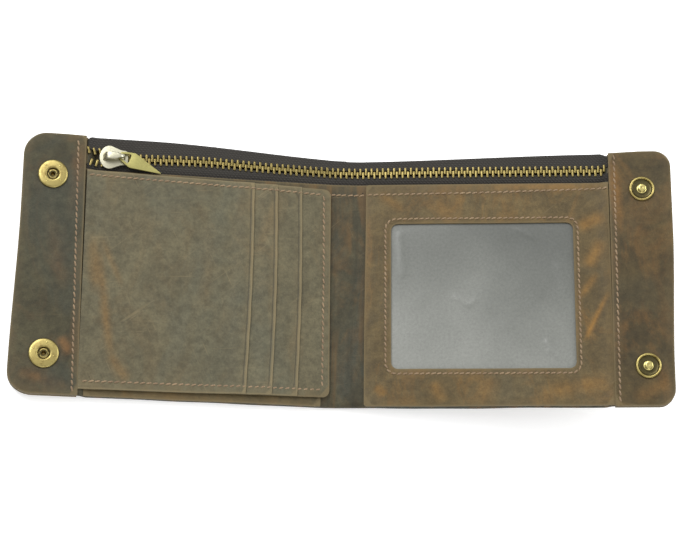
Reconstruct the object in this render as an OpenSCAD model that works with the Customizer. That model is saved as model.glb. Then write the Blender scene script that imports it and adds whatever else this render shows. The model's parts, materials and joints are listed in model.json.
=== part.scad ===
// Long bifold snap wallet with a zipped top pocket, a flip card page,
// a clear window panel and two snap tabs. Millimetres, +Z up.
// The left wing lies flat; the spine and the right wing lean up from it.
// Origin: on the flat outer face of the left wing, below its middle.

/* [Body] */
// Height of the wallet, bottom edge to top edge of the tabs
body_h = 110; // [106:1:114]
// Distance from the middle of the spine to the outer edge of each tab
wing_l = 136.5; // [134:0.5:140]
// Thickness of the outer leather
shell_t = 1.4; // [1.2:0.1:1.5]
// Thickness of the inner front leather
front_t = 1.0; // [0.8:0.1:1.0]
// Lean of the spine, and again of the right wing, when open at rest
lean = 6; // [2:1:12]

/* [Tabs] */
// Distance from the middle of the spine to the inner edge of a tab
tab_u = 110.5; // [110.5:0.1:111]
// Corner radius of the left tab
tab_r_left = 9.5; // [5:0.5:12]
// Corner radius of the right tab
tab_r_right = 7; // [5:0.5:12]
// Distance from the middle of the spine to a snap
snap_u = 124.1; // [122:0.1:126]
// Half the distance between the two snaps of a tab
snap_y = 38.3; // [34:0.1:42]
// Radius of a snap socket ring
socket_r = 6.15; // [5.5:0.05:6.5]
// Radius of a snap stud flange
stud_r = 5.35; // [5:0.05:6]

/* [Pages] */
// Distance from the middle of the spine to the free edge of the card page
page_u = 7.4; // [7.4:0.1:10]
// Free edges of the three card pockets, from the spine outwards
pocket_u = [21.5, 32, 42.2];
// Free edge of the slip panel under the card page
slip_u = 12; // [9:0.5:16]
// Free edge of the window panel
id_u = 7.7; // [7.4:0.1:10]
// Window opening: near side, far side
win_u = [18.7, 95.7];
// Window opening: low edge, high edge
win_y = [-38.7, 24.3];
// Corner radius of the window
win_r = 2.8; // [1:0.1:5]

/* [Zipper] */
// Height of the chain's centre line above the middle of the wallet
zip_y = 47.8; // [47.4:0.1:48]
// Pitch of the teeth on one tape
pitch = 2.4; // [2.2:0.1:2.6]
// Rest position of the slider, from the middle of the spine
slider_u = 99.3; // [98.5:0.1:99.5]
// Length of the pull, from the middle of its eye to its tip
pull_l = 16.5; // [12:0.5:17]

/* [Hidden] */
$fn = 48;

// the two fold lines: half their spacing, and their height over the outer face
fold_u = 5.2;
fold_w = 2.8;
// the origin lies this far left of the middle of the spine
rest_x = 55;
// levels over the outer face
front_w = 3.2;                    // underside of the front leather
front_top = front_w + front_t;
tape_w = 3.0;                     // underside of the zipper tape
tape_t = 0.5;
tooth_w0 = 2.2;
tooth_w1 = 4.3;
face_t = 1.2;                     // facing
tab_top = 6.8;                    // top of the facing
lining_top = tab_top - face_t;
lining_t = 1.0;
tab_w = lining_top - lining_t - shell_t; // underside of the tab
page_w = 5.25;                    // underside of the card page
page_t = 0.7;
pocket_t = 0.6;
id_w = 4.4;                       // underside of the window panel
id_t = 0.9;
film_t = 0.2;
y_bot = -body_h / 2;
y_top = body_h / 2;
front_y = 42;                     // top edge of the front leather
shell_y = 52.6;                   // top edge of the outer leather at the spine
wing_end = 109.5;                 // the wing's own layers end here, the tab starts after it
olive = [0.36, 0.33, 0.27];
inner = [0.40, 0.36, 0.28];
dark = [0.28, 0.25, 0.21];
brass = [0.62, 0.50, 0.26];
nickel = [0.82, 0.80, 0.70];
charcoal = [0.20, 0.19, 0.20];

function smooth(t) = let (k = min(max(t, 0), 1)) k * k * (3 - 2 * k);
// how far the teeth are parted at u, where the slider opens the chain
function parted(u) = 1.8 * smooth((u - slider_u + 3.5) / 6);

// ---- placing ----
module at_rest() { translate([rest_x, 0, 0]) children(); }
module on_left() { at_rest() mirror([1, 0, 0]) children(); }
module on_spine() {
  at_rest() translate([-fold_u, 0, fold_w]) rotate([0, -lean, 0])
    translate([fold_u, 0, -fold_w]) children();
}
module on_right() {
  on_spine() translate([fold_u, 0, fold_w]) rotate([0, -lean, 0])
    translate([-fold_u, 0, -fold_w]) children();
}
// a profile in u and w, run along the wallet's height
module run(pts, y0, y1) {
  translate([0, y1, 0]) rotate([90, 0, 0]) linear_extrude(y1 - y0) polygon(pts);
}
// a profile in y and w, run along the wallet's length
module along(pts, u0, u1) {
  translate([u0, 0, 0]) rotate([90, 0, 90]) linear_extrude(u1 - u0) polygon(pts);
}

// ---- outer leather ----
module wing_shell() {
  color(olive) intersection() {
    run([[fold_u + 0.15, 0], [107.2, 0], [109.4, tab_w], [wing_end, tab_w],
      [wing_end, tab_w + shell_t], [109.2, tab_w + shell_t], [107.0, shell_t], [fold_u + 0.15, shell_t]],
      y_bot, y_top);
    translate([0, 0, -1]) linear_extrude(10)
      polygon([[0, y_bot], [wing_end, y_bot], [wing_end, y_top], [100, y_top - 0.8], [60, y_top - 2], [0, shell_y]]);
  }
}
module shell_spine_part() {
  color(olive) translate([-fold_u + 0.15, y_bot, 0]) cube([2 * fold_u - 0.3, shell_y - y_bot, shell_t]);
}

// ---- inner front leather ----
module wing_front() {
  u0 = fold_u + front_top - fold_w + 0.15;
  color(inner) run([[u0, front_w], [107.2, front_w], [109.1, lining_top - lining_t + 0.05], [wing_end, lining_top - lining_t + 0.05],
    [wing_end, lining_top], [108.7, lining_top], [106.8, front_top], [u0, front_top]], y_bot, front_y);
}
module spine_front() {
  half = fold_u - (front_top - fold_w) - 0.15;
  color(dark) translate([-half, y_bot, front_w]) cube([2 * half, front_y - y_bot, front_t]);
}
module slip_panel() {
  color(inner) translate([slip_u, y_bot, front_top]) cube([106.3 - slip_u, 41.6 - y_bot, 0.8]);
}

// ---- zipper ----
tape_us = fold_u + tape_w + tape_t - fold_w + 0.15;
tape_end = 106.9;
module tape_front(u0, u1, open) {
  color(charcoal) {
    translate([u0, 37, tape_w - 0.3]) cube([u1 - u0, 5.6, tape_t]);
    translate([0, 0, tape_w]) linear_extrude(tape_t) polygon(concat([[u0, front_y], [u1, front_y]],
      [for (i = [12:-1:0]) let (u = u0 + (u1 - u0) * (open ? (i > 0 ? 0.85 + 0.15 * i / 12 : 0) : i / 12))
        [u, zip_y - 1.3 - (open ? parted(u + 0.8) : 0)]]));
  }
}
module tape_back(u0, u1, open) {
  color(charcoal) {
    translate([0, 0, tape_w]) linear_extrude(tape_t) polygon(concat([[u1, 51.8], [u0, 51.8]],
      [for (i = [0:12]) let (u = u0 + (u1 - u0) * (open ? (i > 0 ? 0.85 + 0.15 * i / 12 : 0) : i / 12))
        [u, zip_y + 1.3 + (open ? parted(u + 0.8) : 0)]]));
    along([[51.6, 3.5], [52.6, 3.4], [53.2, 3.0], [53.4, 2.4], [53.2, 1.8], [52.8, 1.4], [51.1, 1.4],
      [51.1, 1.9], [52.5, 1.9], [52.75, 2.1], [52.85, 2.4], [52.7, 2.75], [52.3, 2.95], [51.6, 3.0]], u0, u1);
  }
}
// one tooth: a head past the tape's edge and two legs that grip the tape
module tooth(side) {
  color(brass) scale([1, side, 1]) difference() {
    translate([-0.55, -2.3, tooth_w0]) cube([1.1, 3.0, tooth_w1 - tooth_w0]);
    translate([-1, -3, tape_w]) cube([2, 1.7, tape_t]);
  }
}
module teeth(us, side, open) {
  for (u = us) translate([u, zip_y - side * (open ? parted(u) : 0), 0]) tooth(side);
}
u_tooth = 7.6;
n_teeth = 42;
front_us = [for (i = [0:n_teeth - 1]) if (u_tooth + i * pitch < 106.2) u_tooth + i * pitch];
back_us = [for (i = [0:n_teeth - 1]) if (u_tooth + (i + 0.5) * pitch < 106.2) u_tooth + (i + 0.5) * pitch];

// ---- slider and pull ----
module slider_outline(k) {
  polygon([[-5.9, -2.3 * k], [-5.2, -3.2 * k], [2.2, -5 * k], [2.2, 5 * k], [-5.2, 3.2 * k], [-5.9, 2.3 * k]]);
  translate([2.2, 1.3 * k]) circle(r = 3.7 * k);
  translate([2.2, -1.3 * k]) circle(r = 3.7 * k);
}
module slider_body_part() {
  color(nickel) translate([slider_u, zip_y, 0]) {
    translate([0, 0, 4.4]) linear_extrude(0.9) slider_outline(1);
    translate([0, 0, 3.75]) linear_extrude(0.7) difference() {
      slider_outline(1);
      polygon([[-9, -2.7], [-5, -2.7], [2, -4.35], [9, -4.35], [9, 4.35], [2, 4.35], [-5, 2.7], [-9, 2.7]]);
    }
    translate([-5.2, -2.9, 1.6]) cube([10.6, 5.8, 0.45]);
    translate([3.4, -0.75, 1.9]) cube([1.9, 1.5, 2.7]);
  }
}
// points of a round, from angle a0 to a1, about (x, y)
function arc(x, y, r, a0, a1, n) = [for (i = [0:n]) let (a = a0 + (a1 - a0) * i / n) [x + r * cos(a), y + r * sin(a)]];
module slider_bridge_part() {
  // a low arch: an upright leg by the eye, a quarter round, a level bar, a sloping rear leg
  color(nickel) translate([slider_u, zip_y + 0.75, 0]) rotate([90, 0, 0]) linear_extrude(1.5)
    polygon(concat([[-4.8, 5.3]], arc(-2.4, 6.2, 2.4, 180, 90, 8), [[3.0, 8.6], [4.6, 5.3], [3.7, 5.3], [2.5, 7.8]],
      arc(-2.4, 6.2, 1.6, 90, 180, 8), [[-4.0, 5.3]]));
}
module pull_part() {
  // a leaf-shaped plate with a round eye, its tip resting low
  eye_u = slider_u - 4.4;
  color(brass) translate([eye_u, zip_y, 6.2]) rotate([0, -2, 0]) rotate([0, 0, 22])
    translate([0, 0, -0.5]) linear_extrude(1.0) difference() {
      polygon(concat(arc(0, 0, 2.55, -80, 80, 12), [[-1.6, 2.7], [-2.6, 3.4], [-3.9, 3.5], [-6.5, 2.7], [-11, 1.55],
        [-pull_l + 0.5, 0.85], [-pull_l, 0], [-pull_l + 0.5, -0.85], [-11, -1.55], [-6.5, -2.7], [-3.9, -3.5],
        [-2.6, -3.4], [-1.6, -2.7]]));
      circle(r = 1.75);
    }
}

// ---- tabs and snaps ----
module tab_plan(r) {
  difference() {
    union() {
      translate([tab_u, y_bot + r]) square([wing_l - tab_u, body_h - 2 * r]);
      translate([tab_u, y_bot]) square([wing_l - tab_u - r, body_h]);
      for (y = [y_bot + r, y_top - r]) translate([wing_l - r, y]) circle(r = r);
    }
    for (y = [-snap_y, snap_y]) translate([snap_u, y]) circle(r = 1.65);
  }
}
module tab_layer(r, w0, w1, c) {
  color(c) translate([0, 0, w0]) linear_extrude(w1 - w0) tab_plan(r);
}
module at_snaps() { for (y = [-snap_y, snap_y]) translate([snap_u, y, 0]) children(); }
module socket() {
  color(brass) rotate_extrude() polygon([[2.5, tab_top], [socket_r, tab_top], [socket_r, 7.25],
    [socket_r - 0.35, 7.7], [socket_r - 0.95, 7.9], [3.2, 7.9], [2.7, 7.7], [2.5, 7.4]]);
}
module cap() {
  color(brass) rotate_extrude() polygon([[0, tab_w - 1.6], [2.6, tab_w - 1.5], [4.6, tab_w - 1.1], [5.8, tab_w - 0.5],
    [6.1, tab_w], [1.5, tab_w], [1.5, tab_top], [2.1, tab_top], [2.1, 7.05], [1.0, 7.05], [1.0, tab_w + 0.6], [0, tab_w + 0.6]]);
}
module stud() {
  color(brass) rotate_extrude() polygon([[0, tab_top], [stud_r, tab_top], [stud_r, 7.4], [stud_r - 0.35, 7.8],
    [stud_r - 0.8, 7.8], [stud_r - 1.3, 7.3], [1.6, 7.15], [1.35, 7.9], [1.8, 8.2], [1.8, 8.5], [1.4, 8.8], [0, 8.9]]);
}
module rivet() {
  color(brass) rotate_extrude() polygon([[0, tab_w - 1.6], [2.6, tab_w - 1.5], [4.6, tab_w - 1.1], [5.8, tab_w - 0.5],
    [6.1, tab_w], [1.5, tab_w], [1.5, tab_top], [0, tab_top]]);
}

// ---- card page ----
page_y0 = y_bot + 3.8;
page_y1 = 40.8;
page_end = 107.6;
module page_back_part() {
  r = 2.6;
  color(inner) translate([0, 0, page_w]) linear_extrude(page_t) {
    translate([page_u + r, page_y0]) square([page_end - page_u - r, page_y1 - page_y0]);
    translate([page_u, page_y0 + r]) square([r + 1, page_y1 - page_y0 - 2 * r]);
    for (y = [page_y0 + r, page_y1 - r]) translate([page_u + r, y]) circle(r = r);
  }
}
pw = page_w + page_t;
module pocket(i) {
  // each pocket's free edge stands on the tail of the one before it
  tail = i < 2 ? pocket_u[i + 1] + 3.3 : page_end;
  lift = i > 0 ? pocket_t : 0;
  u = pocket_u[i];
  color(inner) run(i == 0 ?
    [[u, pw], [tail, pw], [tail, pw + pocket_t], [u, pw + pocket_t]] :
    [[u, pw + lift], [u + 3.5, pw + lift], [u + 7.5, pw], [tail, pw], [tail, pw + pocket_t],
      [u + 7.6, pw + pocket_t], [u + 3.6, pw + lift + pocket_t], [u, pw + lift + pocket_t]],
    page_y0, page_y1);
}

// ---- window panel ----
module rounded(u0, u1, y0, y1, r) {
  translate([u0 + r, y0]) square([u1 - u0 - 2 * r, y1 - y0]);
  translate([u0, y0 + r]) square([u1 - u0, y1 - y0 - 2 * r]);
  for (u = [u0 + r, u1 - r], y = [y0 + r, y1 - r]) translate([u, y]) circle(r = r);
}
module id_panel_part() {
  color(inner) {
    translate([0, 0, id_w]) linear_extrude(id_t) difference() {
      translate([id_u, y_bot]) square([106.9 - id_u, 41.6 - y_bot]);
      rounded(win_u[0], win_u[1], win_y[0], win_y[1], win_r);
    }
    run([[106.2, id_w], [106.6, id_w], [108.3, 5.7], [109.4, 5.7], [109.4, 6.5], [108.0, 6.5], [106.3, id_w + id_t], [106.2, id_w + id_t]],
      y_bot, 41.6);
  }
}
module film_part() {
  color([0.62, 0.63, 0.62]) translate([win_u[0] - 3.7, win_y[0] - 3.7, front_top])
    cube([win_u[1] - win_u[0] + 7.4, win_y[1] - win_y[0] + 7.4, film_t]);
}

// ---- left wing ----
module shell_left() { on_left() wing_shell(); }
module front_leather_left() { on_left() wing_front(); }
module slip_panel_left() { on_left() slip_panel(); }
module tape_front_left() { on_left() tape_front(tape_us, tape_end, true); }
module tape_back_left() { on_left() tape_back(tape_us, tape_end, true); }
module teeth_front_left() { on_left() teeth(front_us, 1, true); }
module teeth_back_left() { on_left() teeth(back_us, -1, true); }
module tab_shell_left() { on_left() tab_layer(tab_r_left, tab_w, tab_w + shell_t, olive); }
module tab_lining_left() { on_left() tab_layer(tab_r_left, tab_w + shell_t, lining_top, dark); }
module tab_facing_left() { on_left() tab_layer(tab_r_left, lining_top, tab_top, olive); }
module snap_sockets() { on_left() at_snaps() socket(); }
module snap_caps() { on_left() at_snaps() cap(); }
module page_back() { on_left() page_back_part(); }
module pocket_1() { on_left() pocket(0); }
module pocket_2() { on_left() pocket(1); }
module pocket_3() { on_left() pocket(2); }
module slider_body() { on_left() slider_body_part(); }
module slider_bridge() { on_left() slider_bridge_part(); }
module pull() { on_left() pull_part(); }
// ---- spine ----
module shell_spine() { on_spine() shell_spine_part(); }
module front_leather_spine() { on_spine() spine_front(); }
spine_tape = fold_u - (tape_w + tape_t - fold_w) - 0.15;
module tape_front_spine() { on_spine() tape_front(-spine_tape, spine_tape, false); }
module tape_back_spine() { on_spine() tape_back(-spine_tape, spine_tape, false); }
module teeth_front_spine() { on_spine() teeth([-pitch, 0, pitch], 1, false); }
module teeth_back_spine() { on_spine() teeth([-pitch / 2, pitch / 2], -1, false); }
// ---- right wing ----
module shell_right() { on_right() wing_shell(); }
module front_leather_right() { on_right() wing_front(); }
module id_panel() { on_right() id_panel_part(); }
module window_film() { on_right() film_part(); }
module tape_front_right() { on_right() tape_front(tape_us, tape_end, false); }
module tape_back_right() { on_right() tape_back(tape_us, tape_end, false); }
module teeth_front_right() { on_right() teeth(front_us, 1, false); }
module teeth_back_right() { on_right() teeth(back_us, -1, false); }
module tab_shell_right() { on_right() tab_layer(tab_r_right, tab_w, tab_w + shell_t, olive); }
module tab_lining_right() { on_right() tab_layer(tab_r_right, tab_w + shell_t, lining_top, dark); }
module tab_facing_right() { on_right() tab_layer(tab_r_right, lining_top, tab_top, olive); }
module snap_studs() { on_right() at_snaps() stud(); }
module snap_rivets() { on_right() at_snaps() rivet(); }

shell_left();
front_leather_left();
slip_panel_left();
tape_front_left();
tape_back_left();
teeth_front_left();
teeth_back_left();
tab_shell_left();
tab_lining_left();
tab_facing_left();
snap_sockets();
snap_caps();
page_back();
pocket_1();
pocket_2();
pocket_3();
slider_body();
slider_bridge();
pull();
shell_spine();
front_leather_spine();
tape_front_spine();
tape_back_spine();
teeth_front_spine();
teeth_back_spine();
shell_right();
front_leather_right();
id_panel();
window_film();
tape_front_right();
tape_back_right();
teeth_front_right();
teeth_back_right();
tab_shell_right();
tab_lining_right();
tab_facing_right();
snap_studs();
snap_rivets();
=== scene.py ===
"""Looks for the bifold snap wallet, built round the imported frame. Metres, +Z up."""
import math
import random

import bmesh
import bpy
import numpy as np
from mathutils import Euler, Matrix, Vector
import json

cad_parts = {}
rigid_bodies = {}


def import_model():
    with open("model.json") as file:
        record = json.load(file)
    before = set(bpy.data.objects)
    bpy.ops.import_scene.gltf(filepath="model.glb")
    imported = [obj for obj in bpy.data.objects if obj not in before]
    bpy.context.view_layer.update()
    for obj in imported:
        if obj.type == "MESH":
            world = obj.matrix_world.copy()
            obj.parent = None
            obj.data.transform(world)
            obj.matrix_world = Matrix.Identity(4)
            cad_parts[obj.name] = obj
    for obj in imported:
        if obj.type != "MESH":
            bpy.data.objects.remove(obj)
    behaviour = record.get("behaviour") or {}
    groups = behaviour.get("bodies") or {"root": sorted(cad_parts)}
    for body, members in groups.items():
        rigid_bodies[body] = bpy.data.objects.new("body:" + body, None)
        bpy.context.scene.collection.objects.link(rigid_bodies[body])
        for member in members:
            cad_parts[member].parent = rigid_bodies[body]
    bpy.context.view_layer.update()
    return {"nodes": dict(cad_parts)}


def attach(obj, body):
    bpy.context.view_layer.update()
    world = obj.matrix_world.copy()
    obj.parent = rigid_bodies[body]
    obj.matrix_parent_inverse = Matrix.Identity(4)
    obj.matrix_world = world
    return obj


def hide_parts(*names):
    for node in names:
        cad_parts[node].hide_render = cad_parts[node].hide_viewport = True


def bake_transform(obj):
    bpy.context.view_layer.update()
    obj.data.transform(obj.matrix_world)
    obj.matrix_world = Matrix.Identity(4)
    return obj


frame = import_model()
scene = bpy.context.scene

MM = 0.001
OX = 55.0            # middle of the spine in the row frame
FU, FW = 5.2, 2.8    # the two fold lines
LEAN = math.radians(6)
ZY = 47.8            # chain line in CAD


# ---------------------------------------------------------------- shape maps
def smooth(t):
    t = np.clip(t, 0, 1)
    return t * t * (3 - 2 * t)


def turn(x, w, cx, cw, a):
    dx, dw = x - cx, w - cw
    return cx + dx * math.cos(a) - dw * math.sin(a), cw + dx * math.sin(a) + dw * math.cos(a)


def rest(P):
    """Flat wallet coordinates in mm (x from the middle of the spine, y, w) to the row frame at rest, in metres."""
    P = np.asarray(P, float).reshape(-1, 3)
    x, y, w = P[:, 0], P[:, 1], P[:, 2]
    x1, w1 = turn(x, w, -FU, FW, LEAN)
    x2, w2 = turn(x, w, FU, FW, LEAN)
    x2, w2 = turn(x2, w2, -FU, FW, LEAN)
    a = smooth((x + 10.2) / 10.0)
    b = smooth((x - 0.2) / 10.0)
    X = np.where(x < 0, (1 - a) * x + a * x1, (1 - b) * x1 + b * x2)
    W = np.where(x < 0, (1 - a) * w + a * w1, (1 - b) * w1 + b * w2)
    return np.stack([(X + OX) * MM, y * MM, W * MM], 1)


def sag(x, y):
    """Slight unevenness of the leather, the same for every layer over one spot. Nothing under the hardware or on the outer face."""
    keep = smooth((110 - np.abs(x)) / 12) * smooth((44 - y) / 6)
    s = 0.28 * np.sin(x / 17.0 + 0.6 * np.sin(y / 23.0)) * np.cos(y / 21.0 + 0.4) + 0.16 * np.sin(x / 7.3 + y / 11.0)
    low = smooth((-46 - y) / 9)
    return keep * (0.55 * s + 0.25 * low * np.sin(x / 9.0))


def edge_wave(x):
    return 0.22 * np.sin(x / 13.0 + 1.0) + 0.14 * np.sin(x / 5.1)


def chain_y(x):
    x = np.asarray(x, float)
    left = 47.2 + 0.6 * smooth(-x / 60) + 0.75 * np.exp(-(((x + 62) / 19) ** 2))
    return np.where(x < 0, left, 47.2 + 0.25 * smooth(x / 40))


def back_top(x):
    """Outermost line of the curled back tape."""
    x = np.asarray(x, float)
    t = np.clip((np.abs(x) - 107.0) / 3.6, 0, 1)
    return np.where(x < 0, 53.2 + 3.8 * smooth(-x / 90 + 0.06), 53.0 + 2.5 * smooth(x / 112)) - 2.3 * (1 - np.sqrt(1 - t * t))


def shell_top(x):
    return back_top(x) - 0.9


def front_top(x):
    x = np.asarray(x, float)
    return 42.0 + 0.12 * np.sin(x / 19.0)


def rise_shell(x):
    return 3.2 * smooth((np.abs(x) - 106.2) / 3.7)


def rise_tape(x):
    return 1.6 * smooth((np.abs(x) - 106.4) / 3.5)


def rise_front(x):
    return 1.4 * smooth((np.abs(x) - 105.6) / 3.6)


# ---------------------------------------------------------------- mesh tools
def new_object(name, verts, faces, flat=None, edge=None, smooth_angle=None):
    mesh = bpy.data.meshes.new(name)
    mesh.from_pydata([tuple(v) for v in verts], [], faces)
    mesh.update()
    if flat is not None:
        at = mesh.attributes.new("flat", "FLOAT_VECTOR", "POINT")
        at.data.foreach_set("vector", (np.asarray(flat, np.float32) * MM).ravel())
    if edge is not None:
        at = mesh.attributes.new("edge", "FLOAT", "POINT")
        at.data.foreach_set("value", np.asarray(edge, np.float32))
    ob = bpy.data.objects.new(name, mesh)
    scene.collection.objects.link(ob)
    bm = bmesh.new()
    bm.from_mesh(mesh)
    bmesh.ops.recalc_face_normals(bm, faces=bm.faces)
    for f in bm.faces:
        f.smooth = True
    limit = math.radians(smooth_angle or 50)
    for e in bm.edges:
        if len(e.link_faces) == 2 and e.calc_face_angle(0) > limit:
            e.smooth = False
    bm.to_mesh(mesh)
    bm.free()
    return ob


def rounded_rect(x0, x1, y0, y1, radii, step=2.0, wave=None):
    """Outline, counter-clockwise. radii: low-left, low-right, top-right, top-left."""
    out = []
    cs = [(x0, y0, 180), (x1, y0, 270), (x1, y1, 0), (x0, y1, 90)]
    sx, sy = [1, -1, -1, 1], [1, 1, -1, -1]
    for k, (cx, cy, a0) in enumerate(cs):
        r = radii[k]
        if r <= 0.01:
            out.append((cx, cy))
            continue
        n = max(4, int(r * 1.4))
        for i in range(n + 1):
            a = math.radians(a0 + 90 * i / n)
            out.append((cx + sx[k] * r + r * math.cos(a), cy + sy[k] * r + r * math.sin(a)))
    dense = []
    for i, p in enumerate(out):
        q = out[(i + 1) % len(out)]
        d = math.dist(p, q)
        n = max(1, int(d / step))
        for j in range(n):
            t = j / n
            dense.append((p[0] + (q[0] - p[0]) * t, p[1] + (q[1] - p[1]) * t))
    return dense


def edge_distance(pts, loops):
    P = np.asarray(pts, float)[:, :2]
    best = np.full(len(P), 1e9)
    for loop in loops:
        A = np.asarray(loop, float)
        B = np.roll(A, -1, 0)
        D = B - A
        L = (D ** 2).sum(1) + 1e-12
        for i in range(len(A)):
            t = np.clip(((P - A[i]) @ D[i]) / L[i], 0, 1)
            best = np.minimum(best, np.hypot(*(P - (A[i] + t[:, None] * D[i])).T))
    return best


def slab(name, outline, w0, w1, holes=(), cut=(5.0, 6.0), bevel=0.22, lift0=None, lift1=None,
         warp=True, extra=None, smooth_angle=50, more_x=()):
    """A closed sheet of leather: outline and holes in flat mm, between w0 and w1, its edges rounded.
    lift0 and lift1 add a height to the lower and upper face as functions of x, y."""
    bm = bmesh.new()
    edges = []
    for loop in [outline, *holes]:
        vs = [bm.verts.new((p[0], p[1], 0)) for p in loop]
        edges += [bm.edges.new((vs[i], vs[(i + 1) % len(vs)])) for i in range(len(vs))]
    bmesh.ops.triangle_fill(bm, use_beauty=True, edges=edges)
    xs = [v.co.x for v in bm.verts]
    ys = [v.co.y for v in bm.verts]
    x0, x1, y0, y1 = min(xs), max(xs), min(ys), max(ys)
    for lo, hi, step, no in ((x0, x1, cut[0], (1, 0, 0)), (y0, y1, cut[1], (0, 1, 0))):
        n = max(1, int(round((hi - lo) / step)))
        for i in range(1, n):
            c = lo + (hi - lo) * i / n
            bmesh.ops.bisect_plane(bm, geom=bm.verts[:] + bm.edges[:] + bm.faces[:], dist=1e-5,
                                   plane_co=tuple(c * k for k in no), plane_no=no)
    for c in more_x:
        bmesh.ops.bisect_plane(bm, geom=bm.verts[:] + bm.edges[:] + bm.faces[:], dist=1e-5, plane_co=(c, 0, 0), plane_no=(1, 0, 0))
    bmesh.ops.dissolve_limit(bm, angle_limit=0.0001, verts=[], edges=[
        e for e in bm.edges if len(e.link_faces) == 2
        and abs(e.verts[0].co.x - e.verts[1].co.x) > 1e-4 and abs(e.verts[0].co.y - e.verts[1].co.y) > 1e-4])
    for f in bm.faces:
        if f.normal.z < 0:
            f.normal_flip()
    top = bm.faces[:]
    low = bmesh.ops.duplicate(bm, geom=bm.verts[:] + bm.edges[:] + bm.faces[:])
    vmap = low["vert_map"]
    low_faces = [g for g in low["geom"] if isinstance(g, bmesh.types.BMFace)]
    low_verts = {g for g in low["geom"] if isinstance(g, bmesh.types.BMVert)}
    bmesh.ops.reverse_faces(bm, faces=low_faces)
    rim = [e for e in bm.edges if e.is_boundary and e.verts[0] not in low_verts]
    for v in bm.verts:
        v.co.z = w0 if v in low_verts else w1
    sides = []
    for e in rim:
        a, b = e.verts
        try:
            sides.append(bm.faces.new((b, a, vmap[a], vmap[b])))
        except ValueError:
            pass
    bmesh.ops.recalc_face_normals(bm, faces=bm.faces)
    if bevel:
        be = [e for e in bm.edges if len(e.link_faces) == 2 and abs(e.link_faces[0].normal.z - e.link_faces[1].normal.z) > 0.5
              and abs(e.verts[0].co.z - e.verts[1].co.z) < 1e-6]
        bmesh.ops.bevel(bm, geom=be, offset=bevel, segments=2, profile=0.6, affect="EDGES", clamp_overlap=True)
    bm.verts.ensure_lookup_table()
    P = np.array([v.co[:] for v in bm.verts], float)
    faces = [[v.index for v in f.verts] for f in bm.faces]
    bm.free()
    edge = np.minimum(edge_distance(P, [outline, *holes]), 6.0)
    side = (P[:, 2] > w0 + 0.02) & (P[:, 2] < w1 - 0.02)
    edge[side] = 0
    flat = P.copy()
    t = (P[:, 2] - w0) / (w1 - w0)
    if lift0 is not None:
        P[:, 2] += (1 - t) * lift0(P[:, 0], P[:, 1])
    if lift1 is not None:
        P[:, 2] += t * lift1(P[:, 0], P[:, 1])
    if warp:
        P[:, 2] += sag(P[:, 0], P[:, 1]) * smooth((P[:, 2] - 0.1) / 1.2)
    if extra is not None:
        P = extra(P)
    return new_object(name, rest(P), faces, flat, edge, smooth_angle)


def loft(name, stations, profile, close_start=True, close_end=True, smooth_angle=50, edge_of=None, warp=True, post=None):
    """A closed profile (y, w) run along x. profile(x) gives the points, the same number at each station."""
    rings, flats, edges = [], [], []
    for x in stations:
        pr = np.asarray(profile(x), float)
        ring = np.column_stack([np.full(len(pr), x), pr])
        rings.append(ring)
        arc = np.concatenate([[0], np.cumsum(np.hypot(*np.diff(pr, axis=0).T))])
        flats.append(np.column_stack([np.full(len(pr), x), arc, np.zeros(len(pr))]))
        edges.append(edge_of(x, pr) if edge_of else np.full(len(pr), 6.0))
    n = len(rings[0])
    P = np.concatenate(rings)
    F = np.concatenate(flats)
    E = np.concatenate(edges)
    faces = []
    for s in range(len(rings) - 1):
        for i in range(n):
            j = (i + 1) % n
            faces.append((s * n + i, s * n + j, (s + 1) * n + j, (s + 1) * n + i))
    if close_start:
        faces.append(tuple(range(n)))
    if close_end:
        faces.append(tuple(reversed(range((len(rings) - 1) * n, len(rings) * n))))
    if warp:
        P[:, 2] += sag(P[:, 0], P[:, 1]) * smooth((P[:, 2] - 0.1) / 1.2)
    if post is not None:
        P = post(P)
    return new_object(name, rest(P), faces, F, E, smooth_angle)


def lathe(name, profile, places, segments=56, smooth_angle=35):
    """Round hardware: profile (r, w) from the axis out and back, at flat places (x, y)."""
    verts, faces = [], []
    for (cx, cy) in places:
        base = len(verts)
        n = len(profile)
        for s in range(segments):
            a = 2 * math.pi * s / segments
            for r, w in profile:
                verts.append((cx + r * math.cos(a), cy + r * math.sin(a), w))
        for s in range(segments):
            t = (s + 1) % segments
            for i in range(n - 1):
                a, b, c, d = base + s * n + i, base + s * n + i + 1, base + t * n + i + 1, base + t * n + i
                faces.append((a, b, c, d))
    P = np.array(verts)
    # points on the axis meet; they are merged in the mesh
    ob = new_object(name, rest(P), faces, P, None, smooth_angle)
    bm = bmesh.new()
    bm.from_mesh(ob.data)
    bmesh.ops.remove_doubles(bm, verts=bm.verts, dist=1e-7)
    bmesh.ops.recalc_face_normals(bm, faces=bm.faces)
    bm.to_mesh(ob.data)
    bm.free()
    return ob


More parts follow.
